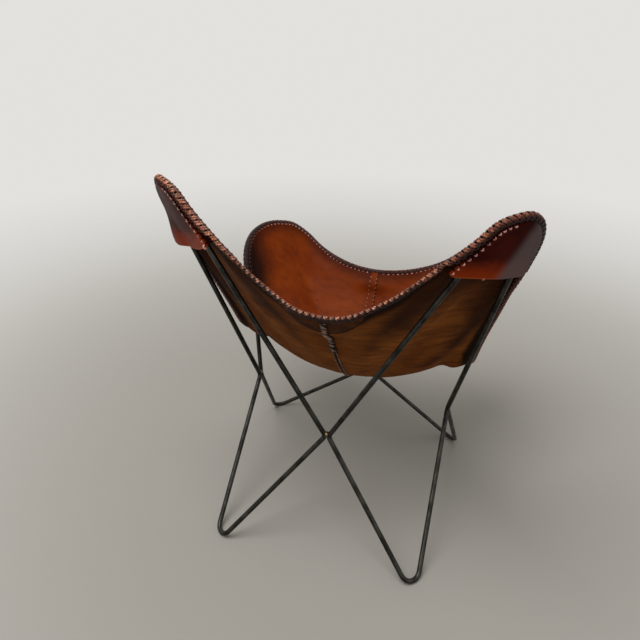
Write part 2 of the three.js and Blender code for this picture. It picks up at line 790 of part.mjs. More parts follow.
const chair = new THREE.Group();
const steel = new THREE.MeshStandardMaterial({ color: '#2b2d2e', roughness: 0.4, metalness: 0.9 });
const weld = new THREE.MeshStandardMaterial({ color: '#5c4a36', roughness: 0.35, metalness: 0.9 });
const leatherOf = (color, roughness) => new THREE.MeshStandardMaterial({ color, roughness, metalness: 0 });
const panelLeather = leatherOf('#6e2c06', 0.4);
const pocketLeather = leatherOf('#3a170c', 0.4);
const darkLace = leatherOf('#2b120c', 0.45);
const redLace = leatherOf('#7a3218', 0.45);
const strapLeather = leatherOf('#7d3c12', 0.45);
const patchLeather = leatherOf('#3b2014', 0.5);

function place(name, geometry, material) {
  const mesh = new THREE.Mesh(geometry, material);
  mesh.name = name;
  chair.add(mesh);
}

function placeBoth(name, geometry, material) {
  place(`${name}_left`, geometry, material);
  place(`${name}_right`, mirrored(geometry), material);
}

placeBoth('hoop_rod_back', rodGeometry(backHoopLine), steel);
placeBoth('hoop_rod_front', rodGeometry(frontHoopLine), steel);
placeBoth('foot_rod_back', footGeometry(backLoop), steel);
placeBoth('foot_rod_front', footGeometry(frontLoop), steel);

const coat = rodRadius + clearance;
const backCrossing = point(0, backCrossingDepth, backCrossingHeight);
const frontCrossing = point(0, frontCrossingDepth, frontCrossingHeight);
const sideCrossing = point(sideCrossingHalfWidth, sideCrossingDepth, sideCrossingHeight);
const coatOf = (line) => toSolid(rodGeometry(line, coat));
const bothCoats = (line) => [coatOf(line), toSolid(mirrored(rodGeometry(line, coat)))];
const bothAims = ({ aim }) => [aim, aim.clone().multiply(mirrorX)];
const backFootLine = footStations(backLoop);
const frontFootLine = footStations(frontLoop);
const backRods = [...bothCoats(backHoopLine), ...bothCoats(backFootLine)];
const frontRods = [...bothCoats(frontHoopLine), ...bothCoats(frontFootLine)];
const sideRods = [backHoopLine, frontHoopLine, backFootLine, frontFootLine].map(coatOf);
place('weld_back', weldGeometry(backCrossing, bothAims(backLoop), backRods), weld);
place('weld_front', weldGeometry(frontCrossing, bothAims(frontLoop), frontRods), weld);
placeBoth('weld_side', weldGeometry(sideCrossing, [backLoop.aim, frontLoop.aim], sideRods), weld);

placeBoth('sling_panel', panelGeometry, panelLeather);
placeBoth('pocket_back', pocketGeometry(backHoop, backPocketKnotCounts), pocketLeather);
placeBoth('pocket_front', pocketGeometry(frontHoop, frontPocketKnotCounts), pocketLeather);
place('lacing_back_edge', crossLacing(backEdgeStations, 1), redLace);
place('lacing_front_edge', crossLacing(frontEdgeStations, -1), darkLace);
placeBoth('lacing_side_edge', sideLacing([backPocketKnotCounts[1], frontPocketKnotCounts[0]]), darkLace);
placeBoth('lacing_hoop_back', pocketLacing(backPocketKnotCounts), darkLace);
placeBoth('lacing_hoop_front', pocketLacing(frontPocketKnotCounts), darkLace);
place('seam_strap', stripGeometry(strapLine, strapWidth, strapThickness, strapCrease), strapLeather);
const laceRun = seamLaceLine.slice(seamLaceStart);
place('seam_lacing', stripGeometry(laceRun, seamLaceWidth, seamLaceThickness, 0), darkLace);
place('half_moon_patch', patchGeometry(), patchLeather);

// The origin is under the middle of the plan.
const plan = new THREE.Box3().setFromObject(chair).getCenter(new THREE.Vector3());
chair.position.set(-plan.x, -plan.y, 0);

export default chair;
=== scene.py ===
import math
from functools import lru_cache

import bmesh
import bpy
from mathutils import Matrix, Vector, noise
from mathutils.kdtree import KDTree


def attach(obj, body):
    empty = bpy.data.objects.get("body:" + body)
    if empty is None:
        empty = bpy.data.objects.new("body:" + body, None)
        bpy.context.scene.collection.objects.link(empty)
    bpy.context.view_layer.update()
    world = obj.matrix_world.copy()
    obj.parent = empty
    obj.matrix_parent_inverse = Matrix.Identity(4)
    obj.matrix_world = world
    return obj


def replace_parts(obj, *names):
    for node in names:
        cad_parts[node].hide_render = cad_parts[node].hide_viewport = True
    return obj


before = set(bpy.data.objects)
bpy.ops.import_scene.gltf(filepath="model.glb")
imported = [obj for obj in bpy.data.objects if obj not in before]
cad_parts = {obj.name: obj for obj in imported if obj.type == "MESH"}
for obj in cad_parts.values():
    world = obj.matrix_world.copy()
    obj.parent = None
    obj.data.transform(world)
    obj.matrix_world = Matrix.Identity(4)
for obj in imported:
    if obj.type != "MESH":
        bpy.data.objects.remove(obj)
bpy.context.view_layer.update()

# The camera stands behind the chair, to the left of it and above, as in the photograph. Its place, its
# turn and its lens come from a fit to the crossings, the feet and the hoops of the frame.
camera_place = (-0.27403, 1.24876, 1.18825)
look = math.radians(-73.820)
down = math.radians(29.351)
roll = math.radians(0.7365)
lens_pixels = 583.55
picture_pixels = 640
film_width = 36
ahead = Vector((math.cos(look) * math.cos(down), math.sin(look) * math.cos(down), -math.sin(down)))
level_right = Vector((math.sin(look), -math.cos(look), 0))
level_up = level_right.cross(ahead)
to_right = math.cos(roll) * level_right + math.sin(roll) * level_up
to_top = math.cos(roll) * level_up - math.sin(roll) * level_right
bpy.ops.object.camera_add()
camera = bpy.context.object
camera.name = "photo_camera"
turn = [(to_right[k], to_top[k], -ahead[k], camera_place[k]) for k in range(3)]
camera.matrix_world = Matrix((*turn, (0, 0, 0, 1)))
camera.data.sensor_fit = "HORIZONTAL"
camera.data.sensor_width = film_width
camera.data.lens = film_width * lens_pixels / picture_pixels
camera.data.clip_start = 0.02
bpy.context.scene.camera = camera

# Frame of the chair: four kinked loops of 12 mm round mild steel bar, each a hoop above and a foot below.
# The bar was bent cold and left raw under a thin coat of oil, so it keeps its dark mill scale and a few
# rubbed, brighter places.


def linear(hex_colour):
    channels = [int(hex_colour[i:i + 2], 16) / 255 for i in (1, 3, 5)]
    return (*(c / 12.92 if c <= 0.04045 else ((c + 0.055) / 1.055) ** 2.4 for c in channels), 1)


def feed(material, node, inputs):
    """Sets each input to a value, a colour in hex, a socket, or another node's first output in use."""
    for name, value in inputs.items():
        if isinstance(value, str):
            value = linear(value)
        if isinstance(value, bpy.types.Node):
            value = next(socket for socket in value.outputs if socket.enabled)
        if isinstance(value, bpy.types.NodeSocket):
            material.node_tree.links.new(value, node.inputs[name])
        else:
            node.inputs[name].default_value = value


def add_node(material, kind, inputs, **settings):
    node = material.node_tree.nodes.new(f"ShaderNode{kind}")
    for name, value in settings.items():
        setattr(node, name, value)
    feed(material, node, inputs)
    return node


def start_material(name):
    """A new material, its shader, and the place on the chair that its patterns follow."""
    material = bpy.data.materials.new(name)
    material.use_nodes = True
    where = add_node(material, "TexCoord", {}).outputs["Object"]
    return material, material.node_tree.nodes["Principled BSDF"], where


def toned(material, under, over, measure, span, ends=(0, 1), easing="LINEAR"):
    """The colour under, with a share of the colour over laid on it. The share goes from one end to the
    other while the measure goes through the span."""
    share = add_node(material, "MapRange", {
        "Value": measure, "From Min": span[0], "From Max": span[1], "To Min": ends[0], "To Max": ends[1],
    }, interpolation_type=easing)
    return add_node(material, "Mix", {0: share, 6: under, 7: over}, data_type="RGBA")


# Mild steel bar, hot rolled: blue-grey mill scale in patches, satin, with fine brighter specks.
mill_steel, steel_shader, where = start_material("mild_steel_mill_scale")
patches = add_node(mill_steel, "TexNoise", {"Vector": where, "Scale": 38, "Detail": 5, "Roughness": 0.62})
specks = add_node(mill_steel, "TexNoise", {"Vector": where, "Scale": 420, "Detail": 3, "Roughness": 0.7})
scale_colour = toned(mill_steel, "#1e1d1b", "#42403b", patches, (0.36, 0.68))
feed(mill_steel, steel_shader, {
    "Base Color": toned(mill_steel, scale_colour, "#77746b", specks, (0.62, 0.78), (0, 0.55)),
    "Metallic": 0.9,
    "Roughness": add_node(mill_steel, "MapRange", {
        "Value": patches, "From Min": 0.3, "From Max": 0.7, "To Min": 0.46, "To Max": 0.28,
    }),
    "Normal": add_node(mill_steel, "Bump", {"Height": specks, "Strength": 0.25, "Distance": 0.0003}),
})


def link_alone(piece):
    """Puts a new piece in the scene, the only one selected."""
    bpy.ops.object.select_all(action="DESELECT")
    bpy.context.scene.collection.objects.link(piece)
    bpy.context.view_layer.objects.active = piece
    piece.select_set(True)


def copy_of_node(node, name, smooth_angle, material):
    """A piece with the CAD's own shape, smooth where its faces meet at less than the angle in degrees."""
    piece = bpy.data.objects.new(name, bpy.data.objects[node].data.copy())
    link_alone(piece)
    piece.data.materials.clear()
    bpy.ops.object.mode_set(mode="EDIT")
    bpy.ops.mesh.select_all(action="SELECT")
    bpy.ops.mesh.remove_doubles(threshold=0.00001)
    bpy.ops.object.mode_set(mode="OBJECT")
    bpy.ops.object.shade_smooth_by_angle(angle=math.radians(smooth_angle))
    piece.data.materials.append(material)
    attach(piece, "root")
    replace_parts(piece, node)


for side in ("left", "right"):
    for part in ("hoop_rod_back", "hoop_rod_front", "foot_rod_back", "foot_rod_front"):
        copy_of_node(f"{part}_{side}", f"{part}_{side}_bar", 50, mill_steel)

# Welds: one gas weld bead in the notch of each crossing, where the bars of two corners part. The bead
# froze in ripples about 1.6 mm apart and was never ground, so it is bright and brown with heat tint.
weld_bead, bead_shader, where = start_material("steel_weld_heat_tinted")
tint = add_node(weld_bead, "TexNoise", {"Vector": where, "Scale": 160, "Detail": 3, "Roughness": 0.6})
ripples = add_node(weld_bead, "TexWave", {
    "Vector": where, "Scale": 98, "Distortion": 2.5, "Detail": 1,
}, bands_direction="Z")
feed(weld_bead, bead_shader, {
    "Base Color": toned(weld_bead, "#4d3c2a", "#a08a5e", tint, (0.38, 0.62)),
    "Metallic": 0.9,
    "Roughness": 0.3,
    "Normal": add_node(weld_bead, "Bump", {
        "Height": ripples.outputs["Fac"], "Strength": 0.8, "Distance": 0.0006,
    }),
})
for joint in ("weld_back", "weld_front", "weld_side_left", "weld_side_right"):
    copy_of_node(joint, f"{joint}_bead", 60, weld_bead)

# Panels of the sling: two halves of thick vegetable tanned cow leather, about 4 mm, joined down the
# middle. The rim below is half of the outline, from the middle of the back edge round both hoops to the
# middle of the front edge; the leather hangs from it down to the lowest point of the seat.
leather = 0.004
clearance = 0.0003
rod_radius = 0.006
laced_margin = 0.0055
rod_reach = 0.014
margin_width = 0.024
cut_in = 0.0015
margin_lift = (leather + clearance) / 2
rod_lift = rod_radius + clearance + leather / 2 + 0.001
plan_middle = 0.3674736


def spot(x, depth, height):
    return Vector((x / 1000, plan_middle - depth / 1000, height / 1000))


def smooth(x):
    x = min(max(x, 0), 1)
    return x * x * (3 - 2 * x)


def blend_of(a, b, share):
    return a + (b - a) * share


# Middle of the back edge, of the front edge and of the seat: depth and height in millimetres.
back_edge, front_edge, low_seat = (80, 633), (638, 492), (385, 312)
seat = spot(0, *low_seat)


def above_seat(edge, depth_share, height_share):
    depth, height = (blend_of(*ends) for ends in zip(edge, low_seat, (depth_share, height_share)))
    return spot(0, depth, height)


class Hoop:
    """A hoop's own directions: across from its middle leg to its side leg, up to its tip, and inward."""

    def __init__(self, aim, middle, side, tip_drop):
        to_middle = (middle - aim).normalized()
        to_side = (side - aim).normalized()
        self.aim = aim
        self.up = -(to_middle + to_side).normalized()
        self.across = (to_side - to_middle).normalized()
        self.inward = self.up.cross(self.across).normalized()
        if self.inward.dot(seat - aim) < 0:
            self.inward.negate()
        self.length = -((middle + side) / 2 - aim).dot(self.up)
        self.width = (side - middle).dot(self.across)
        self.tip_drop = tip_drop

    def spot(self, across, below, inward):
        fall = self.tip_drop + below * (self.length - self.tip_drop)
        return (self.aim + self.across * (across * self.width)
                - self.up * fall + self.inward * (inward * self.length))

    def out_of_plane(self, place):
        return (place - self.aim).dot(self.inward)


back_hoop = Hoop(spot(392, 72, 1025), spot(3.359, 133, 288), spot(257, 360.583, 258), 0.190)
front_hoop = Hoop(spot(490, 824, 911), spot(0.952, 594, 183), spot(257, 366.843, 258), 0.407)

# Each row: shares across the hoop, below its tip and inward, and how far a pocket holds the margin flat.
back_rim = [
    (-0.617, 0.428, 0.074, 0), (-0.470, 0.339, 0.046, 0.3), (-0.357, 0.203, 0.015, 1),
    (-0.286, 0.122, 0.005, 1), (-0.207, 0.059, 0.001, 1), (-0.133, -0.008, 0, 1),
    (-0.033, -0.033, 0, 1), (0.060, -0.038, 0, 1), (0.153, -0.014, 0, 1), (0.222, 0.035, 0, 1),
    (0.260, 0.092, 0, 1), (0.279, 0.155, 0, 1), (0.300, 0.217, 0, 1), (0.334, 0.304, 0.010, 0.5),
    (0.385, 0.415, 0.018, 0), (0.435, 0.525, 0.025, 0), (0.487, 0.630, 0.031, 0), (0.540, 0.718, 0.037, 0),
]
front_rim = [
    (0.528, 0.598, 0.047, 0), (0.450, 0.543, 0.016, 0.3), (0.398, 0.416, 0.006, 1),
    (0.373, 0.295, 0, 1), (0.348, 0.176, 0, 1), (0.298, 0.086, 0, 1), (0.219, 0.017, 0, 1),
    (0.117, -0.023, 0, 1), (0.017, -0.036, 0, 1), (-0.085, -0.029, 0, 1), (-0.196, -0.004, 0, 1),
    (-0.308, 0.079, 0.002, 1), (-0.378, 0.199, 0.022, 1), (-0.428, 0.293, 0.060, 0.3),
    (-0.485, 0.399, 0.125, 0),
]
rim_knots = [(spot(0, *back_edge), 0)]
rim_knots += [(back_hoop.spot(x, y, z), hold) for x, y, z, hold in back_rim]
rim_knots += [(front_hoop.spot(x, y, z), hold) for x, y, z, hold in front_rim]
rim_knots += [(spot(0, *front_edge), 0)]
last_knot = len(rim_knots) - 1
side_knot = len(back_rim) + 1


def mirrored(place):
    return Vector((-place.x, place.y, place.z))


rim_points = [mirrored(rim_knots[1][0])] + [place for place, hold in rim_knots]
rim_points += [mirrored(rim_knots[-2][0])]


@lru_cache(maxsize=None)
def rim_at(knot):
    i = min(int(knot), last_knot - 1)
    t = knot - i
    x0, x1, x2, x3 = rim_points[i:i + 4]
    d0, d1, d2 = ((b - a).length ** 0.5 for a, b in ((x0, x1), (x1, x2), (x2, x3)))
    t1 = ((x1 - x0) / d0 - (x2 - x0) / (d0 + d1) + (x2 - x1) / d1) * d1
    t2 = ((x2 - x1) / d1 - (x3 - x1) / (d1 + d2) + (x3 - x2) / d2) * d1
    c2 = 3 * (x2 - x1) - 2 * t1 - t2
    c3 = 2 * (x1 - x2) + t1 + t2
    heading = t1 + c2 * (2 * t) + c3 * (3 * t * t)
    if knot <= 0 or knot >= last_knot:
        heading = Vector((heading.x, 0, 0))
    return x1 + t1 * t + c2 * (t * t) + c3 * (t * t * t), heading.normalized()


side_rim = rim_knots[side_knot][0]
# Knot, point that the leather runs towards, level run at the seat, straight run at the rim, lift.
guides = [
    (0, above_seat(back_edge, 0.30, 0.56), 0.19, 0.23, 0),
    (8, back_hoop.spot(0, 0.66, 0), 0.19, 0.50, 0.09),
    (side_knot, Vector((side_rim.x * 0.62, side_rim.y, blend_of(seat.z, side_rim.z, 0.05))), 0.40, 0.42, 0),
    (27, front_hoop.spot(0, 0.54, 0), 0.25, 0.45, 0.10),
    (last_knot, above_seat(front_edge, 0.69, 0.61), 0.33, 0.30, 0),
]


class Station:
    """A place on the rim, with its heading, the way into the leather and the way to the sitter."""

    def __init__(self, knot):
        self.knot = knot
        self.place, along = rim_at(knot)
        i = min(int(knot), last_knot - 1)
        self.hold = blend_of(rim_knots[i][1], rim_knots[i + 1][1], smooth(knot - i))
        self.hoop = back_hoop if knot < side_knot else front_hoop
        j = 1
        while guides[j][0] < knot and j < len(guides) - 1:
            j += 1
        a, b = guides[j - 1], guides[j]
        share = smooth((knot - a[0]) / (b[0] - a[0]))
        self.toward, self.level, self.straight, self.lift = (
            blend_of(a[k], b[k], share) for k in range(1, 5)
        )
        inward = self.hoop.inward
        self.heading = (along - inward * (self.hold * along.dot(inward))).normalized()
        into = self.toward - self.place
        into -= inward * (self.hold * into.dot(inward))
        into -= self.heading * into.dot(self.heading)
        self.into = into.normalized()
        self.inward = self.into.cross(self.heading).normalized()
        self.square = self.into.cross(along).normalized()

    def rise(self, distance):
        share = min(max((distance - laced_margin) / (rod_reach - laced_margin), 0), 1)
        return blend_of(margin_lift, rod_lift, share)

    def margin(self, distance):
        return self.place + self.into * distance + self.inward * (self.hold * self.rise(distance))

    def run(self, share):
        end = self.margin(margin_width)
        reach = (self.place - seat).length
        level = Vector((end.x - seat.x, end.y - seat.y, 0)).normalized()
        arrive = self.toward - end
        arrive -= self.hoop.inward * (self.hold * arrive.dot(self.hoop.inward))
        arrive = arrive.normalized() + self.inward * self.lift
        a = seat + level * (self.level * reach)
        b = end + arrive * (self.straight * reach)
        rest = 1 - share
        return (seat * rest ** 3 + a * (3 * rest * rest * share)
                + b * (3 * rest * share * share) + end * share ** 3)


station = lru_cache(maxsize=None)(Station)


def body_spot(knot, share):
    """Middle of the leather between the seat (share 0) and the margin (share 1), its waves evened out."""
    spread = 2.2 * smooth((1 - share) / 0.3)
    place = Vector()
    for step in (-1, -0.5, 0.5, 1):
        beside = abs(knot + step * spread)
        beyond = knot + step * spread < 0 or beside > last_knot
        if beside > last_knot:
            beside = 2 * last_knot - beside
        spot_there = station(round(beside, 5)).run(share)
        place += (mirrored(spot_there) if beyond else spot_there) / 4
    return place


steps_per_knot = 8
rim_lengths = [0.0]
for step in range(last_knot * steps_per_knot):
    a = rim_at(step / steps_per_knot)[0]
    b = rim_at((step + 1) / steps_per_knot)[0]
    rim_lengths.append(rim_lengths[-1] + (b - a).length)


def length_at(knot):
    i = min(int(knot * steps_per_knot), len(rim_lengths) - 2)
    return blend_of(rim_lengths[i], rim_lengths[i + 1], knot * steps_per_knot - i)


def knot_at(length):
    low, high = 0, len(rim_lengths) - 1
    while high - low > 1:
        middle = (low + high) // 2
        low, high = (middle, high) if rim_lengths[middle] <= length else (low, middle)
    share = (length - rim_lengths[low]) / (rim_lengths[high] - rim_lengths[low])
    return min(max((low + share) / steps_per_knot, 0), last_knot)


def normals_of(grid):
    """Normal of each point of a grid, towards the sitter's side of the sling."""
    lines = []
    for i, line in enumerate(grid):
        before, after = grid[max(i - 1, 0)], grid[min(i + 1, len(grid) - 1)]
        normals = []
        for j in range(len(line)):
            du = after[j] - before[j]
            dv = line[min(j + 1, len(line) - 1)] - line[max(j - 1, 0)]
            normals.append(du.cross(dv).normalized())
        lines.append(normals)
    return lines


def shell(name, top, bottom, flat, materials, turned=False):
    """Closed piece between two grids of points, the first material on top and the second elsewhere.
    flat gives the UV map: for each point, its length round the rim and its distance in from it."""
    rows, columns = len(top), len(top[0])
    count = rows * columns
    points = [p for line in top for p in line] + [p for line in bottom for p in line]
    faces, slots = [], []
    for i in range(rows - 1):
        for j in range(columns - 1):
            a, b = i * columns + j, (i + 1) * columns + j
            c, d = b + 1, a + 1
            faces += [(a, b, c, d), (d + count, c + count, b + count, a + count)]
            slots += [0, 1]
    loop = [i * columns for i in range(rows)]
    loop += [(rows - 1) * columns + j for j in range(1, columns)]
    loop += [i * columns + columns - 1 for i in range(rows - 2, -1, -1)]
    loop += list(range(columns - 2, 0, -1))
    for k, a in enumerate(loop):
        b = loop[(k + 1) % len(loop)]
        faces.append((b, a, a + count, b + count))
        slots.append(1)
    if turned:
        points = [mirrored(p) for p in points]
    mesh = bpy.data.meshes.new(name)
    mesh.from_pydata(points, [], faces)
    for material in materials:
        mesh.materials.append(material)
    mesh.polygons.foreach_set("material_index", slots)
    uv = mesh.uv_layers.new(name="rim_map")
    flat_points = [p for line in flat for p in line] * 2
    for corner in mesh.loops:
        uv.data[corner.index].uv = flat_points[corner.vertex_index]
    shaped = bmesh.new()
    shaped.from_mesh(mesh)
    bmesh.ops.remove_doubles(shaped, verts=shaped.verts, dist=0.000002)
    bmesh.ops.recalc_face_normals(shaped, faces=shaped.faces)
    shaped.to_mesh(mesh)
    shaped.free()
    piece = bpy.data.objects.new(name, mesh)
    link_alone(piece)
    bpy.ops.object.shade_smooth_by_angle(angle=math.radians(50))
    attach(piece, "root")
    return piece


# Holes are punched for the lacing every 13 mm, 9.5 mm in from the rim, through every layer. Beside each one
# a dark slit is painted, 1.9 mm by 2.6 mm from its middle to its blurred edge: painted shade inside the
# hole.
lace_pitch = 0.013
lace_reach = 0.0095
slit_reach = lace_reach + 0.0012
slit = (0.0019, 0.0026)


def rim_map_of(material):
    """Length round the rim and distance in from it, from the piece's own map."""
    axes = add_node(material, "SeparateXYZ", {"Vector": add_node(material, "UVMap", {}, uv_map="rim_map")})
    return axes.outputs["X"], axes.outputs["Y"]


def punched(material, under, over, round_rim, inwards):
    """The colour under, with the slits of the punched holes painted in the colour over, as the shade inside
    them.
    """
    steps = add_node(material, "Math", {0: round_rim, 1: 1 / lace_pitch}, operation="MULTIPLY")
    beside = add_node(material, "Math", {
        0: add_node(material, "Math", {0: steps}, operation="FRACT"),
        1: lace_pitch / slit[0], 2: -0.5 * lace_pitch / slit[0],
    }, operation="MULTIPLY_ADD")
    beyond = add_node(material, "Math", {
        0: inwards, 1: 1 / slit[1], 2: -slit_reach / slit[1],
    }, operation="MULTIPLY_ADD")
    away = add_node(material, "VectorMath", {
        0: add_node(material, "CombineXYZ", {"X": beside, "Y": beyond}),
    }, operation="LENGTH")
    return toned(material, under, over, away, (0.8, 1.3), (0.92, 0))


def painted_shade_at(material, under, over, length, round_rim, fading, strongest, reach, reach_span):
    """The colour under, with painted shade in the colour over round one length of the rim, fading out along
    it and inwards.
    """
    offset = add_node(material, "Math", {0: round_rim, 1: length}, operation="SUBTRACT")
    away = add_node(material, "Math", {0: offset}, operation="ABSOLUTE")
    shares = []
    for measure, span, most in ((away, fading, strongest), (reach, reach_span, 1)):
        shares.append(add_node(material, "MapRange", {
            "Value": measure, "From Min": span[0], "From Max": span[1], "To Min": most, "To Max": 0,
        }, interpolation_type="SMOOTHSTEP"))
    share = add_node(material, "Math", {0: shares[0], 1: shares[1]}, operation="MULTIPLY")
    return add_node(material, "Mix", {0: share, 6: under, 7: over}, data_type="RGBA")


def streaks_across(material, where, scale, rotation):
    """Streaks of the hide, drawn out along one of its directions."""
    drawn = add_node(material, "Mapping", {"Vector": where, "Scale": scale, "Rotation": rotation})
    return add_node(material, "TexNoise", {"Vector": drawn, "Scale": 1, "Detail": 5, "Roughness": 0.65})


def pored(material, where, scale, detail, depth, strength):
    """Pores 3 mm apart and wrinkles as deep as said, as a bump."""
    pores = add_node(material, "TexVoronoi", {"Vector": where, "Scale": 330, "Randomness": 1}, feature="F1")
    wrinkles = add_node(material, "TexNoise", {
        "Vector": where, "Scale": scale, "Detail": detail, "Roughness": 0.6,
    })
    height = add_node(material, "Math", {
        0: pores, 1: add_node(material, "Math", {0: wrinkles, 1: depth}, operation="MULTIPLY"),
    }, operation="ADD")
    return add_node(material, "Bump", {"Height": height, "Strength": strength, "Distance": 0.0006})


# Vegetable tanned cow leather, grain side: waxed by hand in orange brown, so it is glossy in the middle and
# darker next to the lacing; inside the front hoops it carries painted shade. Its grain is drawn 3 mm wide so
# that it shows.
grain_leather, grain_shader, where = start_material("cow_leather_waxed_grain")
round_rim, inwards = rim_map_of(grain_leather)
clouds = add_node(grain_leather, "TexNoise", {
    "Vector": where, "Scale": 7, "Detail": 4, "Roughness": 0.55, "Distortion": 0.6,
})
hide_marks = streaks_across(grain_leather, where, (22, 70, 40), (0.3, 0.2, 0.5))
waxed = toned(grain_leather, "#652503", "#7e3505", clouds, (0.36, 0.66))
streaked = toned(grain_leather, waxed, "#4c1704", hide_marks, (0.48, 0.75), (0, 0.6))
# The leather is darker next to the lacing, over about 40 mm. Beside the sitter's thighs, inside the front
# hoops, it is painted nearly black: painted shade where the leather faces away from the light.
edged = toned(grain_leather, streaked, "#340e04", inwards, (0.012, 0.06), (0.75, 0), "SMOOTHSTEP")
thigh_painted_shade = painted_shade_at(grain_leather, edged, "#140502", length_at(21.6), round_rim, (0.08, 0.22), 0.95,
                   inwards, (0.06, 0.17))
feed(grain_leather, grain_shader, {
    "Base Color": punched(grain_leather, thigh_painted_shade, "#0c0403", round_rim, inwards),
    "Normal": pored(grain_leather, where, 55, 6, 2.5, 0.3),
    "Roughness": add_node(grain_leather, "MapRange", {
        "Value": clouds, "From Min": 0.3, "From Max": 0.7, "To Min": 0.55, "To Max": 0.42,
    }),
    "Specular IOR Level": 0.05,
})

# The same leather, flesh side: never dyed through, brushed suede-like fibres with streaks across the hide.
# Next to the lacing it is nearly black, wax and painted shade of the gaps between the strands; behind the
# hoops lies a painted shadow of the bars and the pockets.
flesh_leather, flesh_shader, where = start_material("cow_leather_flesh_side")
round_rim, inwards = rim_map_of(flesh_leather)
blotches = add_node(flesh_leather, "TexNoise", {
    "Vector": where, "Scale": 9, "Detail": 4, "Roughness": 0.6, "Distortion": 0.8,
})
hide_streaks = streaks_across(flesh_leather, where, (9, 30, 130), (0.1, 0.12, 0))
flesh_base = toned(flesh_leather, "#643410", "#824a1c", blotches, (0.35, 0.65))
flesh_streaked = toned(flesh_leather, flesh_base, "#3c1f0b", hide_streaks, (0.42, 0.68), (0, 0.6))
# Next to the rim the flesh side is painted nearly black: wax, and painted shade of the deep gaps between the
# lacing strands and under the rim.
rim_dark_depth = add_node(flesh_leather, "Math", {
    0: inwards, 1: add_node(flesh_leather, "Math", {0: blotches, 1: 0.05}, operation="MULTIPLY"),
}, operation="SUBTRACT")
flesh_wax_and_shade = toned(flesh_leather, flesh_streaked, "#130804", rim_dark_depth, (-0.006, 0.03), (0.97, 0),
                    "SMOOTHSTEP")
# Behind the hoops, up to 30 cm from the rim, the shadow of the bars and the pockets is painted on it in dark
# brown.
shadow_depth = add_node(flesh_leather, "Math", {0: blotches, 1: 0.2, 2: inwards}, operation="MULTIPLY_ADD")
flesh_painted_shadow = painted_shade_at(flesh_leather, flesh_wax_and_shade, "#200d06", length_at(8.5), round_rim, (0.26, 0.42),
                          0.85, shadow_depth, (0.24, 0.46))
fibres = add_node(flesh_leather, "TexNoise", {"Vector": where, "Scale": 450, "Detail": 4, "Roughness": 0.7})
feed(flesh_leather, flesh_shader, {
    "Base Color": punched(flesh_leather, flesh_painted_shadow, "#0c0403", round_rim, inwards),
    "Roughness": 0.8,
    "Specular IOR Level": 0.06,
    "Normal": add_node(flesh_leather, "Bump", {
        "Height": add_node(flesh_leather, "Math", {0: fibres, 1: hide_streaks}, operation="ADD"),
        "Strength": 0.45, "Distance": 0.0008,
    }),
})

panel_knots = [i / 6 for i in range(last_knot * 6 + 1)]
body_rows = 34
body_shares = [i / body_rows for i in range(body_rows)]
margin_distances = [margin_width - i * 0.002 for i in range(11)] + [cut_in]
panel_grid, panel_flat = [], []
for knot in panel_knots:
    here = station(knot)
    line = [body_spot(knot, share) for share in body_shares]
    line += [here.margin(distance) for distance in margin_distances]
    panel_grid.append(line)
    inwards = [0.0]
    for a, b in zip(reversed(line[1:]), reversed(line[:-1])):
        inwards.append(inwards[-1] + (b - a).length)
    panel_flat.append([(length_at(knot), distance) for distance in reversed(inwards)])
panel_normals = normals_of(panel_grid)
for i, line in enumerate(panel_normals):
    line[0] = Vector((0, 0, 1))
    if i in (0, len(panel_normals) - 1):
        for j, normal in enumerate(line):
            line[j] = Vector((0, normal.y, normal.z)).normalized()

# Slow waves of about a millimetre in the thick leather, away from the rim, the seam and the bars.
wave_height, waves_per_metre = 0.0012, 16
for line, normals, flat in zip(panel_grid, panel_normals, panel_flat):
    for j, (place, (length, distance)) in enumerate(zip(line, flat)):
        free = smooth((distance - 0.035) / 0.08) * smooth((place.x - 0.012) / 0.05)
        line[j] = place + normals[j] * (free * wave_height * noise.noise(place * waves_per_metre))


def skin(grid, normals, height):
    return [[p + n * height for p, n in zip(*pair)] for pair in zip(grid, normals)]


def seam_side(skinned):
    """The face of a panel, its side along the seam set straight with a thin gap to the other panel."""
    for line in skinned:
        line[0] = Vector((clearance / 2, line[0].y, line[0].z))
    for line in (skinned[0], skinned[-1]):
        line[:] = [Vector((clearance / 2, place.y, place.z)) for place in line]
    return skinned


panel_top = seam_side(skin(panel_grid, panel_normals, leather / 2))
panel_bottom = seam_side(skin(panel_grid, panel_normals, -leather / 2))
for side in ("left", "right"):
    panel = shell(f"sling_leather_{side}", panel_top, panel_bottom, panel_flat,
                  [grain_leather, flesh_leather], turned=side == "right")
    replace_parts(panel, f"sling_panel_{side}")

# Pockets: a cap of the same leather on the outside of each hoop, laced to the panel round the rim, so that
# the bar sits between the two. They are dyed a dark red brown and polished, with a warmer orange-red band
# along the hem and a painted grey sheen over the outer half. The hem sags a little, and the left back pocket
# has an ear that turned out.
pocket_dye, dye_shader, where = start_material("cow_leather_dyed_polished")
round_rim, inwards = rim_map_of(pocket_dye)
hem_reach = add_node(pocket_dye, "Attribute", {}, attribute_name="hem_distance").outputs["Fac"]
outer_share = add_node(pocket_dye, "Attribute", {}, attribute_name="outer_share").outputs["Fac"]
dye_clouds = add_node(pocket_dye, "TexNoise", {
    "Vector": where, "Scale": 14, "Detail": 4, "Roughness": 0.55, "Distortion": 0.5,
})
hem_warmth_depth = add_node(pocket_dye, "Math", {
    0: hem_reach, 1: add_node(pocket_dye, "Math", {0: dye_clouds, 1: 0.05}, operation="MULTIPLY"),
}, operation="SUBTRACT")
dyed = toned(pocket_dye, "#2c0704", "#480f06", dye_clouds, (0.36, 0.66))
hem_warmth = toned(pocket_dye, dyed, "#8c2f05", hem_warmth_depth, (-0.02, 0.03), (0.85, 0), "SMOOTHSTEP")
hem_line = toned(pocket_dye, hem_warmth, "#9c4c28", hem_reach, (0.001, 0.0035), (0.7, 0))
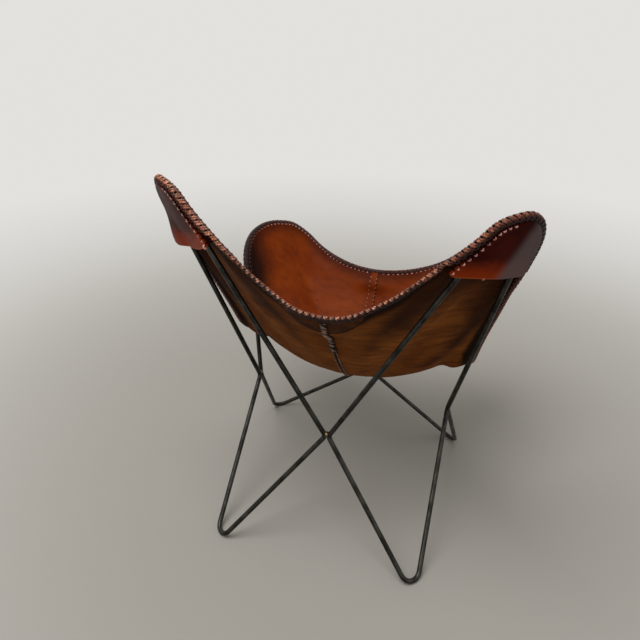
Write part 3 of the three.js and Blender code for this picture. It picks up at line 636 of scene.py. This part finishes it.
# A painted grey sheen, standing for the pale walls reflected in the polished leather, lies over the outer
# half.
painted_sheen = toned(pocket_dye, hem_line, "#5c4e4d", outer_share, (0.04, 0.42), (0, 0.9), "SMOOTHSTEP")
# Next to the rim, under the lacing, the leather is painted nearly black: wax, and painted shade of the deep
# gaps between the strands.
rim_wax_and_shade = toned(pocket_dye, painted_sheen, "#080302", inwards, (0.010, 0.014), (0.96, 0), "SMOOTHSTEP")
feed(pocket_dye, dye_shader, {
    "Base Color": punched(pocket_dye, rim_wax_and_shade, "#060202", round_rim, inwards),
    "Roughness": add_node(pocket_dye, "MapRange", {
        "Value": dye_clouds, "From Min": 0.3, "From Max": 0.7, "To Min": 0.42, "To Max": 0.3,
    }),
    "Specular IOR Level": 0.015,
    "Normal": pored(pocket_dye, where, 60, 5, 2, 0.25),
})


def pocket_margin(here, distance):
    """Middle of the pocket's leather in the margin, on the outer side of the bar."""
    place = here.place + here.into * distance
    share = (here.rise(distance) - margin_lift) / (rod_lift - margin_lift)
    drop = blend_of(margin_lift, rod_lift + here.hoop.out_of_plane(place), share)
    return place - here.hoop.inward * drop


def on_hoop_plane(here, distance):
    place = here.place + here.into * distance
    return place - here.hoop.inward * here.hoop.out_of_plane(place)


def keep_measure(piece, label, values):
    """Keeps one number for each point of a piece, for its material to read."""
    piece.data.attributes.new(label, "FLOAT", "POINT").data.foreach_set("value", values)


# Hoop, knots where the pocket ends, how far the hem sags, how far its outer corner hangs lower, how far that
# corner turns out, how much painted grey sheen it has, and the area of the piece.
back_pocket = (3.5, 13)
front_pocket = (21.5, 30.5)
pocket_cuts = {
    "back_left": (back_hoop, back_pocket, 0.010, 0, 0.014, 0.2, 0.026),
    "back_right": (back_hoop, (3.6, 12.7), -0.001, -0.005, 0, 1, 0.024),
    "front_left": (front_hoop, front_pocket, 0.008, 0.003, 0.001, 1, 0.030),
    "front_right": (front_hoop, front_pocket, 0.006, 0.005, 0.002, 1, 0.030),
}
cap_rows = 24
crown = 0.003
# How far above the hem its fall and its turned-out corner still reach.
fall_reach, turn_reach = 0.05, 0.09
hem_ties = {}
for name, (hoop, ends, sag, ear, flare, sheen_share, area) in pocket_cuts.items():
    count = round((ends[1] - ends[0]) * 7)
    corners = [on_hoop_plane(station(knot), margin_width) for knot in ends]
    centre = (corners[0] + corners[1]) / 2
    hem_way = (corners[1] - corners[0]).normalized()
    hem_square = (hoop.up - hem_way * hoop.up.dot(hem_way)).normalized()
    half_hem = (corners[1] - corners[0]).length / 2
    outer_sign = 1 if hoop is back_hoop else -1

    def fall_at(place):
        """Share along the hem, how near its outer corner, and how far it has fallen there."""
        along = (place - centre).dot(hem_way) / half_hem
        corner = smooth((along * outer_sign - 0.35) / 0.65)
        return along, corner, sag * max(1 - along * along, 0) + ear * corner

    grid, flat = [], []
    for i in range(count + 1):
        knot = blend_of(ends[0], ends[1], i / count)
        here = station(knot)
        line, line_flat = [], []
        for row in range(cap_rows + 1):
            share = row / cap_rows
            place = centre + (on_hoop_plane(here, margin_width) - centre) * share
            line.append(place - hoop.inward * (rod_lift + crown * (1 - share * share)))
            line_flat.append((length_at(knot), margin_width + (1 - share) * 0.1))
        for distance in margin_distances:
            line.append(pocket_margin(here, distance))
            line_flat.append((length_at(knot), distance))
        for j, place in enumerate(line):
            along, corner, fall = fall_at(place)
            above = (place - centre).dot(hem_square)
            turned_out = flare * corner * (1 - smooth(above / turn_reach))
            place = place - hem_square * (fall * (1 - smooth(above / fall_reach)))
            line[j] = place + (hem_way * (0.35 * outer_sign) - hoop.inward) * turned_out
        grid.append(line)
        flat.append(line_flat)
    normals = normals_of(grid)
    for line in normals:
        line[0] = hoop.inward.copy()
    normals = [[-n if n.dot(hoop.inward) > 0 else n for n in line] for line in normals]
    outside = skin(grid, normals, leather / 2)
    inside = skin(grid, normals, -leather / 2)
    hem_ties[name] = (outside[0][4], hem_way, -hoop.inward)
    right = name.endswith("right")
    pocket = shell(f"pocket_{name}_leather", outside, inside, flat, [pocket_dye, pocket_dye], turned=right)
    from_hem, outer_shares = [], []
    for vertex in pocket.data.vertices:
        place = mirrored(vertex.co) if right else vertex.co.copy()
        along, corner, fall = fall_at(place)
        from_hem.append((place - centre).dot(hem_square) + fall)
        outer_shares.append(along * outer_sign * sheen_share)
    keep_measure(pocket, "hem_distance", from_hem)
    keep_measure(pocket, "outer_share", outer_shares)
    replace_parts(pocket, f"pocket_{name}")

# Half-moon patch: a second layer of leather on the outside under the middle of the back edge, across the
# seam. Its flesh side is out too, stained dark, and its cut edge is burnished black. The lacing of the
# back edge holds its straight side.
patch_half_width = 0.084
patch_depth = 0.052
patch_layer = 0.0023
patch_top = 0.004
patch_knots = 1.55
patch_lines, patch_rows = 40, 10
patch_leather, patch_shader, where = start_material("cow_leather_flesh_side_stained")
cut_reach = add_node(patch_leather, "Attribute", {}, attribute_name="cut_distance").outputs["Fac"]
patch_stains = add_node(patch_leather, "TexNoise", {
    "Vector": where, "Scale": 45, "Detail": 5, "Roughness": 0.65,
})
patch_fibres = add_node(patch_leather, "TexNoise", {
    "Vector": where, "Scale": 450, "Detail": 4, "Roughness": 0.7,
})
patch_stained = toned(patch_leather, "#2c1408", "#4e280f", patch_stains, (0.36, 0.66))
feed(patch_leather, patch_shader, {
    "Base Color": toned(patch_leather, patch_stained, "#0a0403", cut_reach, (0.0024, 0.0045), (0.97, 0)),
    "Roughness": 0.7,
    "Specular IOR Level": 0.08,
    "Normal": add_node(patch_leather, "Bump", {"Height": patch_fibres, "Strength": 0.4, "Distance": 0.0007}),
})


def leather_spot(here, distance):
    if distance <= margin_width:
        return here.margin(distance)
    reach = 3 * here.straight * (here.place - seat).length
    return body_spot(here.knot, 1 - (distance - margin_width) / reach)


patch_grid, patch_flat, patch_cut = [], [], []
for i in range(patch_lines + 1):
    knot = patch_knots * math.sin(math.radians(90) * (2 * i - patch_lines) / patch_lines)
    here = station(round(abs(knot), 4))
    reach = min(here.place.x / patch_half_width, 1)
    depth = patch_top + (patch_depth - patch_top) * math.sqrt(1 - reach * reach)
    line = []
    for j in range(patch_rows + 1):
        distance = blend_of(0.003, depth, j / patch_rows)
        place = leather_spot(here, distance)
        line.append(mirrored(place) if knot < 0 else place)
        patch_cut.append(min((depth - distance) * max(1 - reach, 0.05) ** 0.4, 0.02))
    patch_grid.append(line)
    patch_flat.append([(length_at(abs(knot)), 0.05)] * len(line))
patch_normals = normals_of(patch_grid)
patch_normals[:2] = [patch_normals[2]] * 2
patch_normals[-2:] = [patch_normals[-3]] * 2
patch_normals = [[n if n.z > 0 else -n for n in line] for line in patch_normals]
patch_faces = [skin(patch_grid, patch_normals, -leather / 2 - depth) for depth in (0.0004, patch_layer)]
patch = shell("half_moon_patch_leather", *patch_faces, patch_flat, [patch_leather, patch_leather])
cut_points = [p for line in patch_grid for p in line]
cut_tree = KDTree(len(cut_points))
for k, place in enumerate(cut_points):
    cut_tree.insert(place, k)
cut_tree.balance()
nearest = [cut_tree.find(vertex.co)[1] for vertex in patch.data.vertices]
keep_measure(patch, "cut_distance", [patch_cut[k] for k in nearest])
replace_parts(patch, "half_moon_patch")

# Lacing: a waxed thong of the same leather, two narrow strips side by side, plaited over the edge of the
# sling through the punched holes. One run leans to the left over the edge and the next to the right, so
# that the edge looks like a rope. At the hoops it binds the panel and the pocket together.
lace_width = 0.0062
lace_thickness = 0.0016


def thong_leather(name, deep, mid, highlight_hex):
    """Waxed thong, darker in the gaps, on the outside and under other strands as painted shade, lighter
    where it goes over the edge as rubbing and painted highlight.
    """
    material, shader, where = start_material(name)
    wear, shade = (add_node(material, "Attribute", {}, attribute_name=label).outputs["Fac"]
                   for label in ("wear", "shade"))
    smudges = add_node(material, "TexNoise", {"Vector": where, "Scale": 260, "Detail": 4, "Roughness": 0.7})
    dyed = add_node(material, "Mix", {0: shade, 6: deep, 7: mid}, data_type="RGBA")
    smudged = add_node(material, "MapRange", {"Value": smudges, "From Min": 0.4, "From Max": 0.58})
    highlight_share = add_node(material, "Math", {0: wear, 1: smudged}, operation="MULTIPLY")
    feed(material, shader, {
        "Base Color": add_node(material, "Mix", {0: highlight_share, 6: dyed, 7: highlight_hex}, data_type="RGBA"),
        "Roughness": 0.3,
        "Specular IOR Level": 0.2,
        "Normal": add_node(material, "Bump", {"Height": smudges, "Strength": 0.3, "Distance": 0.0005}),
    })
    return material


# Leather thong, dyed black brown and waxed: nearly black, with lighter rubbed places and painted highlights
# along each strand.
dark_thong = thong_leather("leather_thong_waxed_dark", "#0b0403", "#48190d", "#b56f52")
# Leather thong, dyed red brown and waxed: copper where it is rubbed and in painted highlights, nearly black
# in painted shade in the gaps.
red_thong = thong_leather("leather_thong_waxed_red", "#160503", "#6a2811", "#e2a080")


def chance(x, y=0.0):
    """A steady number from 0 to 1 for each strand, so that no two look the same."""
    return (math.sin(x * 127.1 + y * 311.7) * 43758.5453) % 1


# The left back pocket is laced only down to where its corner turns out.
back_laced = ((back_pocket[0], 11.2), (back_pocket[0], 12.7))


def covered(knot, ends):
    """1 where a pocket lies under the lacing, 0 where only the panel does."""
    return smooth((knot - ends[0] - 0.1) / 0.4) * smooth((ends[1] - 0.1 - knot) / 0.4)


def inner_face(here, distance):
    return here.margin(distance) + here.square * (leather / 2)


def outer_face(here, distance, side):
    bare = here.margin(distance) - here.square * (leather / 2)
    bare -= here.square * (patch_layer * smooth((0.08 - here.place.x) / 0.02) * (here.knot < 2))
    share = covered(here.knot, back_laced[side]) + covered(here.knot, front_pocket)
    if share == 0:
        return bare
    return blend_of(bare, pocket_margin(here, distance) - here.hoop.inward * (leather / 2), share)


# Section of a strand, in shares of its half width and half thickness. Its ends are narrower.
strand_section = ((1, -0.1), (0.6, 0.85), (-0.6, 0.85), (-1, -0.1), (0, -0.8))
end_width = 0.7
strip_spacing = 2.1
strand_sunk = 0.0013


class Strands:
    """Short flat strands gathered into one piece: a low oval section along each path."""

    def __init__(self):
        self.points, self.faces, self.wear, self.shade = [], [], [], []

    def lay(self, path, ups, width, thickness, wear, shade, aside=0):
        first = len(self.points)
        last = len(path) - 1
        sides = len(strand_section)
        for i, (place, up) in enumerate(zip(path, ups)):
            way = (path[min(i + 1, last)] - path[max(i - 1, 0)]).normalized()
            across = way.cross(up).normalized()
            lift = across.cross(way)
            half = width[i] / 2 * (end_width if i in (0, last) else 1)
            middle = place + across * (aside * half * strip_spacing)
            for x, y in strand_section:
                self.points.append(middle + across * (x * half) + lift * (y * thickness / 2))
                self.wear.append(wear[i])
                self.shade.append(shade[i])
        for i in range(last):
            for j in range(sides):
                a, b = first + i * sides + j, first + i * sides + (j + 1) % sides
                self.faces.append((a, b, b + sides, a + sides))
        self.faces.append(tuple(first + j for j in reversed(range(sides))))
        self.faces.append(tuple(first + last * sides + j for j in range(sides)))

    def add(self, other, turned=False):
        base = len(self.points)
        self.points += [mirrored(p) for p in other.points] if turned else other.points
        self.faces += [tuple(base + k for k in face) for face in other.faces]
        self.wear += other.wear
        self.shade += other.shade

    def piece(self, name, material, slot):
        mesh = bpy.data.meshes.new(name)
        mesh.from_pydata(self.points, [], self.faces)
        mesh.materials.append(material)
        made = bpy.data.objects.new(name, mesh)
        keep_measure(made, "wear", self.wear)
        keep_measure(made, "shade", self.shade)
        link_alone(made)
        bpy.ops.object.mode_set(mode="EDIT")
        bpy.ops.mesh.select_all(action="SELECT")
        bpy.ops.mesh.normals_make_consistent(inside=False)
        bpy.ops.object.mode_set(mode="OBJECT")
        bpy.ops.object.shade_smooth_by_angle(angle=math.radians(70))
        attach(made, "root")
        return made


# Stops of a strand over the edge: share of its run, distance in from the rim, angle round the edge.
edge_stops = [
    (0, lace_reach, 0), (0.08, 0.0082, 0), (0.2, 0.0054, 0), (0.32, 0.0028, 0), (0.41, cut_in, 45),
    (0.5, cut_in, 90), (0.59, cut_in, 135), (0.68, 0.0028, 180), (0.8, 0.0054, 180), (0.92, 0.0082, 180),
    (1, lace_reach, 180),
]


def edge_strand(strands, number, side, leaning):
    """One run of the thong from hole to hole over the edge. Runs that lean one way pass over the others
    in the middle of the edge and under them on both faces."""
    path, ups, wear, shade, widths = [], [], [], [], []
    seed = number + 500 * side + 0.5 * leaning
    width = lace_width * (0.94 + 0.12 * chance(seed, 1))
    for share, distance, angle in edge_stops:
        from_middle = abs(share - 0.5)
        at = number * lace_pitch + share * (2 * lace_pitch)
        beyond = at < 0 or at > length_at(last_knot)
        at = abs(at) if at < 0 else min(at, 2 * length_at(last_knot) - at)
        here = station(round(knot_at(at), 3))
        angle = angle if leaning > 0 else 180 - angle
        turned = math.radians(angle)
        over = smooth(1 - (from_middle / 0.3 if leaning > 0 else abs(from_middle - 0.34) / 0.2))
        height = lace_thickness * (0.5 + 0.9 * over) - strand_sunk * (share in (0, 1))
        a, b = inner_face(here, distance), outer_face(here, distance, side)
        up = here.square * math.cos(turned) - here.into * math.sin(turned)
        if angle in (0, 180):
            place = (a if angle == 0 else b) + up * height
        else:
            half = (a - b).length / 2
            place = (a + b) / 2 + here.square * (math.cos(turned) * (half + height))
            place -= here.into * (math.sin(turned) * (height + 0.0004))
        path.append(mirrored(place) if beyond else place)
        ups.append(mirrored(up) if beyond else up)
        # Along the back edge the outside is painted nearly black, partly dark dye and partly painted shade
        # under the rim. The right back hoop gets darker towards its tip; over the front hoops the thong is
        # painted dark as shade, and the runs lying beneath others are painted darker as shade. Where a run
        # goes over the edge it is lighter: rubbing and painted highlight.
        on_back = smooth((3.2 - here.knot) / 0.6)
        dark_tip_and_shade = smooth((here.knot - 7) / 2.5) * (here.knot < 13 and side == 1)
        dark_tip_and_shade = max(dark_tip_and_shade, 0.92 * smooth((here.knot - 20.4) / 0.8) * smooth((28.5 - here.knot) / 3))
        unshaded_share = (1 - 0.85 * dark_tip_and_shade) * (1 if leaning > 0 else blend_of(0.35, 0.9, on_back))
        rub_and_highlight = smooth(1 - from_middle / blend_of(0.42, 0.12, on_back)) * (0.4 + 0.6 * over)
        wear.append(rub_and_highlight * (0.35 + 0.65 * chance(seed, 2)) * unshaded_share)
        outside_shade = 0.92 * on_back * smooth((angle - 70) / 60)
        shade.append((0.45 + 0.55 * chance(seed, 3)) * (1 - outside_shade) * unshaded_share)
        widths.append(width / 2 * (1 + 0.3 * smooth(1 - from_middle / 0.42)))
    for aside in (-0.5, 0.5):
        toned_down = 0.6 + 0.4 * chance(seed, aside)
        strands.lay(path, ups, widths, lace_thickness, wear, [x * toned_down for x in shade], aside)


def plait(ends, side):
    strands = Strands()
    first, last = (round(length_at(knot) / lace_pitch) for knot in ends)
    for number in range(first, last):
        for leaning in (1, -1):
            edge_strand(strands, number - 0.5, side, leaning)
    return strands


side_ends = (back_pocket[1], front_pocket[0])
for part, ends, thong_left, thong_right in (
    ("lacing_hoop_back", back_pocket, red_thong, dark_thong),
    ("lacing_side_edge", side_ends, red_thong, red_thong),
    ("lacing_hoop_front", front_pocket, dark_thong, dark_thong),
):
    for side, name, thong in ((0, "left", thong_left), (1, "right", thong_right)):
        lacing = Strands()
        lacing.add(plait(ends, side), turned=side == 1)
        slot = "red_lacing" if thong is red_thong else "dark_lacing"
        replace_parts(lacing.piece(f"{part}_{name}_thong", thong, slot), f"{part}_{name}")
for node, ends, thong, slot in (
    ("lacing_back_edge", (0, back_pocket[0]), red_thong, "red_lacing"),
    ("lacing_front_edge", (front_pocket[1], last_knot), dark_thong, "dark_lacing"),
):
    lacing = Strands()
    lacing.add(plait(ends, 0))
    lacing.add(plait(ends, 1), turned=True)
    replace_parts(lacing.piece(f"{node}_thong", thong, slot), node)

# Inside the lacing runs a row of short stitches, one to each turn: the thong's own knots, polished by use
# and lighter on top with painted highlights. On the back hoops, and near the middle on the front hoops, they
# come through the pocket too. One larger knot ends the left row, and one small knot sits on the hem of the
# right back pocket; both have a bright painted highlight.
knots_painted_bright = thong_leather("leather_thong_polished_knots", "#3c150d", "#7c4032", "#dba99d")


# A stitch is painted lighter along its top, as a highlight, and dimmed by the last share given, as painted
# shade.
def stitch(strands, place, way, up, number, length, width, height, unshaded_share=1):
    path = [place + way * (x * length / 2) + up * (height * y)
            for x, y in ((-1, -0.3), (-0.6, 0.25), (0, 0.5), (0.6, 0.25), (1, -0.3))]
    painted_shine = (0.4 + 0.6 * chance(number, 3)) * unshaded_share
    wear, shade = [0, painted_shine, unshaded_share, painted_shine, 0], [chance(number, 4) * unshaded_share] * 5
    strands.lay(path, [up] * 5, [width] * 5, height * 0.8, wear, shade)


# Distance of the stitches from the rim, inside and on the pockets, and where each row runs, in knots.
inner_row, pocket_row = 0.0138, 0.0132
side_without_row = (12.6, 20.6)
pocket_rows = ((3.6, 6.8), (27.6, 30.2))
# Length, width and height of a stitch inside and on a pocket, and of the knots at the end and on the hem.
inner_stitch, pocket_stitch = (0.004, 0.003, 0.0018), (0.0058, 0.0044, 0.003)
end_knot, hem_knot = (0.009, 0.0075, 0.006), (0.005, 0.0042, 0.0028)
end_knot_row, end_knot_rise = 0.0125, 0.003
bright_knot = 907
rim_stitches = Strands()
for side in (0, 1):
    half = Strands()
    for number in range(1, int(length_at(last_knot) / lace_pitch)):
        here = station(round(knot_at(number * lace_pitch), 3))
        outwards = -here.hoop.inward
        seed = number + 700 * side
        if not side_without_row[0] < here.knot < side_without_row[1]:
            place = here.margin(inner_row) + here.square * (leather / 2)
            # Over the front hoops the inner row is dimmed: painted shade inside the hoops.
            unshaded_share = 1 - 0.9 * smooth((here.knot - 20) / 0.6) * smooth((27 - here.knot) / 2)
            stitch(half, place, here.heading, here.square, seed, *inner_stitch, unshaded_share)
        if any(start <= here.knot <= end for start, end in pocket_rows):
            place = pocket_margin(here, pocket_row) + outwards * (leather / 2)
            stitch(half, place, here.heading, outwards, seed + 50, *pocket_stitch)
    if side == 0:
        corner = station(back_pocket[0])
        place = pocket_margin(corner, end_knot_row) - back_hoop.inward * (leather / 2 + end_knot_rise)
        stitch(half, place, corner.heading, -back_hoop.inward, bright_knot, *end_knot)
    else:
        stitch(half, *hem_ties["back_right"], bright_knot, *hem_knot)
    rim_stitches.add(half, turned=side == 1)
rim_stitches.piece("rim_stitches", knots_painted_bright, "red_lacing")

# Seam: the two panels meet down the middle. Inside, a strap of the same leather covers the joint between
# two rows of stitches 19 mm apart.
seam_line = list(reversed(panel_grid[0])) + panel_grid[-1][1:]
seam_lengths = [0.0]
for a, b in zip(seam_line, seam_line[1:]):
    seam_lengths.append(seam_lengths[-1] + math.hypot(b.y - a.y, b.z - a.z))
seam_end = seam_lengths[-1]


def seam_at(length, height):
    """A place over the middle of the leather along the seam, and the seam's way and square there."""
    i = 0
    while i < len(seam_lengths) - 2 and seam_lengths[i + 1] < length:
        i += 1
    share = (length - seam_lengths[i]) / (seam_lengths[i + 1] - seam_lengths[i])
    a, b = seam_line[max(i - 1, 0)], seam_line[min(i + 2, len(seam_line) - 1)]
    way = Vector((0, b.y - a.y, b.z - a.z)).normalized()
    square = Vector((0, -way.z, way.y))
    if square.z < 0:
        square.negate()
    place = blend_of(seam_line[i], seam_line[i + 1], share)
    return Vector((0, place.y, place.z)) + square * height, way, square


strip_step = 0.004
strip_section = (-1, -0.92, -0.5, 0, 0.5, 0.92, 1)


# The strip's map holds one fixed distance in from the rim, which its material's stains and painted shade
# read.
def seam_strip(name, start, end, width, low, high, crease, material, rim_map_distance):
    """A strip along the seam, low and high over the middle of the leather."""
    count = round((end - start) / strip_step)
    faces, flat = ([], []), []
    for i in range(count + 1):
        length = blend_of(start, end, i / count)
        for line, height, edge in zip(faces, (high, low), (0.5, 1)):
            row = []
            for x in strip_section:
                place, way, square = seam_at(length, blend_of(low, height, edge if abs(x) == 1 else 1))
                row.append(place + square * (crease * abs(x)) + Vector((x * width / 2, 0, 0)))
            line.append(row)
        flat.append([(length, rim_map_distance)] * len(strip_section))
    return shell(name, faces[0], faces[1], flat, [material, material])


# The strap and the ridge stop short of both edges, and their stitches a little before that.
seam_margin = 0.011
strap_width, strap_low, strap_high, strap_crease = 0.0185, 0.0005, 0.0027, 0.0009
strap_pitch, strap_row, strap_stitch = 0.0125, 0.0088, (0.0078, 0.0034, 0.0022)
strap = seam_strip("seam_strap_leather", seam_margin, seam_end - seam_margin, strap_width,
                   leather / 2 + strap_low, leather / 2 + strap_high, strap_crease, grain_leather, 0.05)
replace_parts(strap, "seam_strap")
strap_stitches = Strands()
for number in range(int((seam_end - 0.03) / strap_pitch)):
    for x in (-1, 1):
        place, way, square = seam_at(0.019 + number * strap_pitch + 0.002 * x, leather / 2 + 0.0032)
        place += Vector((x * strap_row, 0, 0))
        seed = number * 2 + x
        lean = (way + Vector((0.3 * x + 0.3 * (chance(seed, 5) - 0.5), 0, 0))).normalized()
        stitch(strap_stitches, place, lean, square, seed, *strap_stitch)
# The strap's stitches are lighter on their high points: painted highlights.
strap_knots = thong_leather("leather_thong_strap_stitches", "#220a04", "#602812", "#a0603e")
strap_stitches.piece("seam_strap_stitches", strap_knots, "strap_leather")

# Outside, the top fifth of the seam is laced with the dark thong, across the half-moon patch and on down.
# Below that, its two rows of stitches show on a narrow ridge.
laced_part = 0.168
laced_pitch, ridge_pitch = 0.0085, 0.0105
laced_half_width, laced_width, laced_thickness = 0.0078, 0.0054, 0.0018
ridge_row, ridge_stitch = 0.0046, (0.0074, 0.0028, 0.002)
ridge_width, ridge_low, ridge_high = 0.0095, 0.0004, 0.0018
ridge = seam_strip("seam_ridge_leather", patch_depth + 0.006, seam_end - seam_margin, ridge_width,
                   -leather / 2 - ridge_low, -leather / 2 - ridge_high, 0, flesh_leather, 0.04)
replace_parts(ridge, "seam_lacing")
seam_thong = Strands()
length, number = 0.013, 0
while length < seam_end - 0.022:
    number += 1
    step = laced_pitch if length < laced_part else ridge_pitch
    for x in (-1, 1):
        if length >= laced_part:
            place, way, square = seam_at(length, -leather / 2 - 0.0016)
            place += Vector((x * ridge_row, 0, 0))
            lean = (way + Vector((0.35 * x, 0, 0))).normalized()
            stitch(seam_thong, place, lean, -square, number * 2 + x, *ridge_stitch)
            continue
        lift = patch_layer * smooth((0.056 - length) / 0.008) + 0.0018 * smooth((length - 0.05) / 0.008)
        path, ups = [], []
        for share in (0, 0.2, 0.4, 0.6, 0.8, 1):
            arch = math.sin(math.pi * share)
            height = leather / 2 + lift + 0.0004 + 0.0022 * arch + 0.0008 * x * arch
            place, way, square = seam_at(length + share * step * 1.3, -height)
            path.append(place + Vector((x * laced_half_width * (1 - 2 * share), 0, 0)))
            ups.append(-square)
        wear = [rub_and_highlight * smooth(2 * chance(number, x) - 0.6) for rub_and_highlight in (0, 0.4, 1, 1, 0.4, 0)]
        shade = [0.3 * chance(number, 2 * x)] * 6
        seam_thong.lay(path, ups, [laced_width] * 6, laced_thickness, wear, shade)
    length += step
# The same thong, black with wax, its high points pale with polish and painted highlights.
black_thong = thong_leather("leather_thong_waxed_black", "#080302", "#2a120a", "#bf927c")
seam_thong.piece("seam_thong_outside", black_thong, "dark_lacing")

# Floor and light: a plain pale studio. The floor keeps the soft shadow and fades into off-white walls,
# which are the world's colour as the camera and the metal see it.
floor_size = 12
floor_reach = (1.2, 3.2)
wall_colour = "#e2e1de"
wall_on_chair = 0.62
bpy.ops.object.select_all(action="DESELECT")
bpy.ops.mesh.primitive_plane_add(size=floor_size, location=(0, 0, 0))
floor = bpy.context.object
floor.name = "studio_floor"
# Matt painted floor, plain light grey, gone into the wall's colour 3.2 m from the chair.
floor_paint, floor_shader, where = start_material("painted_studio_floor")
away = add_node(floor_paint, "VectorMath", {0: where}, operation="LENGTH")
feed(floor_paint, floor_shader, {
    "Base Color": toned(floor_paint, "#9d9992", "#d8d6d2", away, (0.5, 2.6), easing="SMOOTHSTEP"),
    "Roughness": 0.75,
    "Specular IOR Level": 0.2,
})
far = add_node(floor_paint, "MapRange", {
    "Value": away, "From Min": floor_reach[0], "From Max": floor_reach[1],
}, interpolation_type="SMOOTHSTEP")
faded = add_node(floor_paint, "MixShader", {
    0: far,
    1: floor_shader,
    2: add_node(floor_paint, "BsdfTransparent", {}),
})
feed(floor_paint, floor_paint.node_tree.nodes["Material Output"], {"Surface": faded})
floor.data.materials.append(floor_paint)

scene = bpy.context.scene
scene.view_settings.view_transform = "Standard"
scene.world = bpy.data.worlds.new("studio_walls")
scene.world.use_nodes = True
rays = add_node(scene.world, "LightPath", {}).outputs
seen = rays["Is Camera Ray"]
for ray in ("Is Glossy Ray", "Is Transmission Ray"):
    seen = add_node(scene.world, "Math", {0: seen, 1: rays[ray]}, operation="MAXIMUM")
feed(scene.world, scene.world.node_tree.nodes["Background"], {
    "Color": wall_colour,
    "Strength": add_node(scene.world, "MapRange", {"Value": seen, "To Min": wall_on_chair, "To Max": 1}),
})
chair_middle = Vector((0, 0, 0.4))
for name, place, size, power in (
    ("ceiling_light", (0.8, 1.0, 3.6), 2.2, 96),
    ("side_light", (-2.2, 0.9, 1.6), 1.0, 3),
    ("front_light", (-0.6, -2.4, 2.2), 1.6, 9),
):
    lamp = bpy.data.lights.new(name, "AREA")
    lamp.size = size
    lamp.energy = power
    holder = bpy.data.objects.new(name, lamp)
    holder.location = place
    holder.rotation_euler = (chair_middle - Vector(place)).to_track_quat("-Z", "Y").to_euler()
    scene.collection.objects.link(holder)
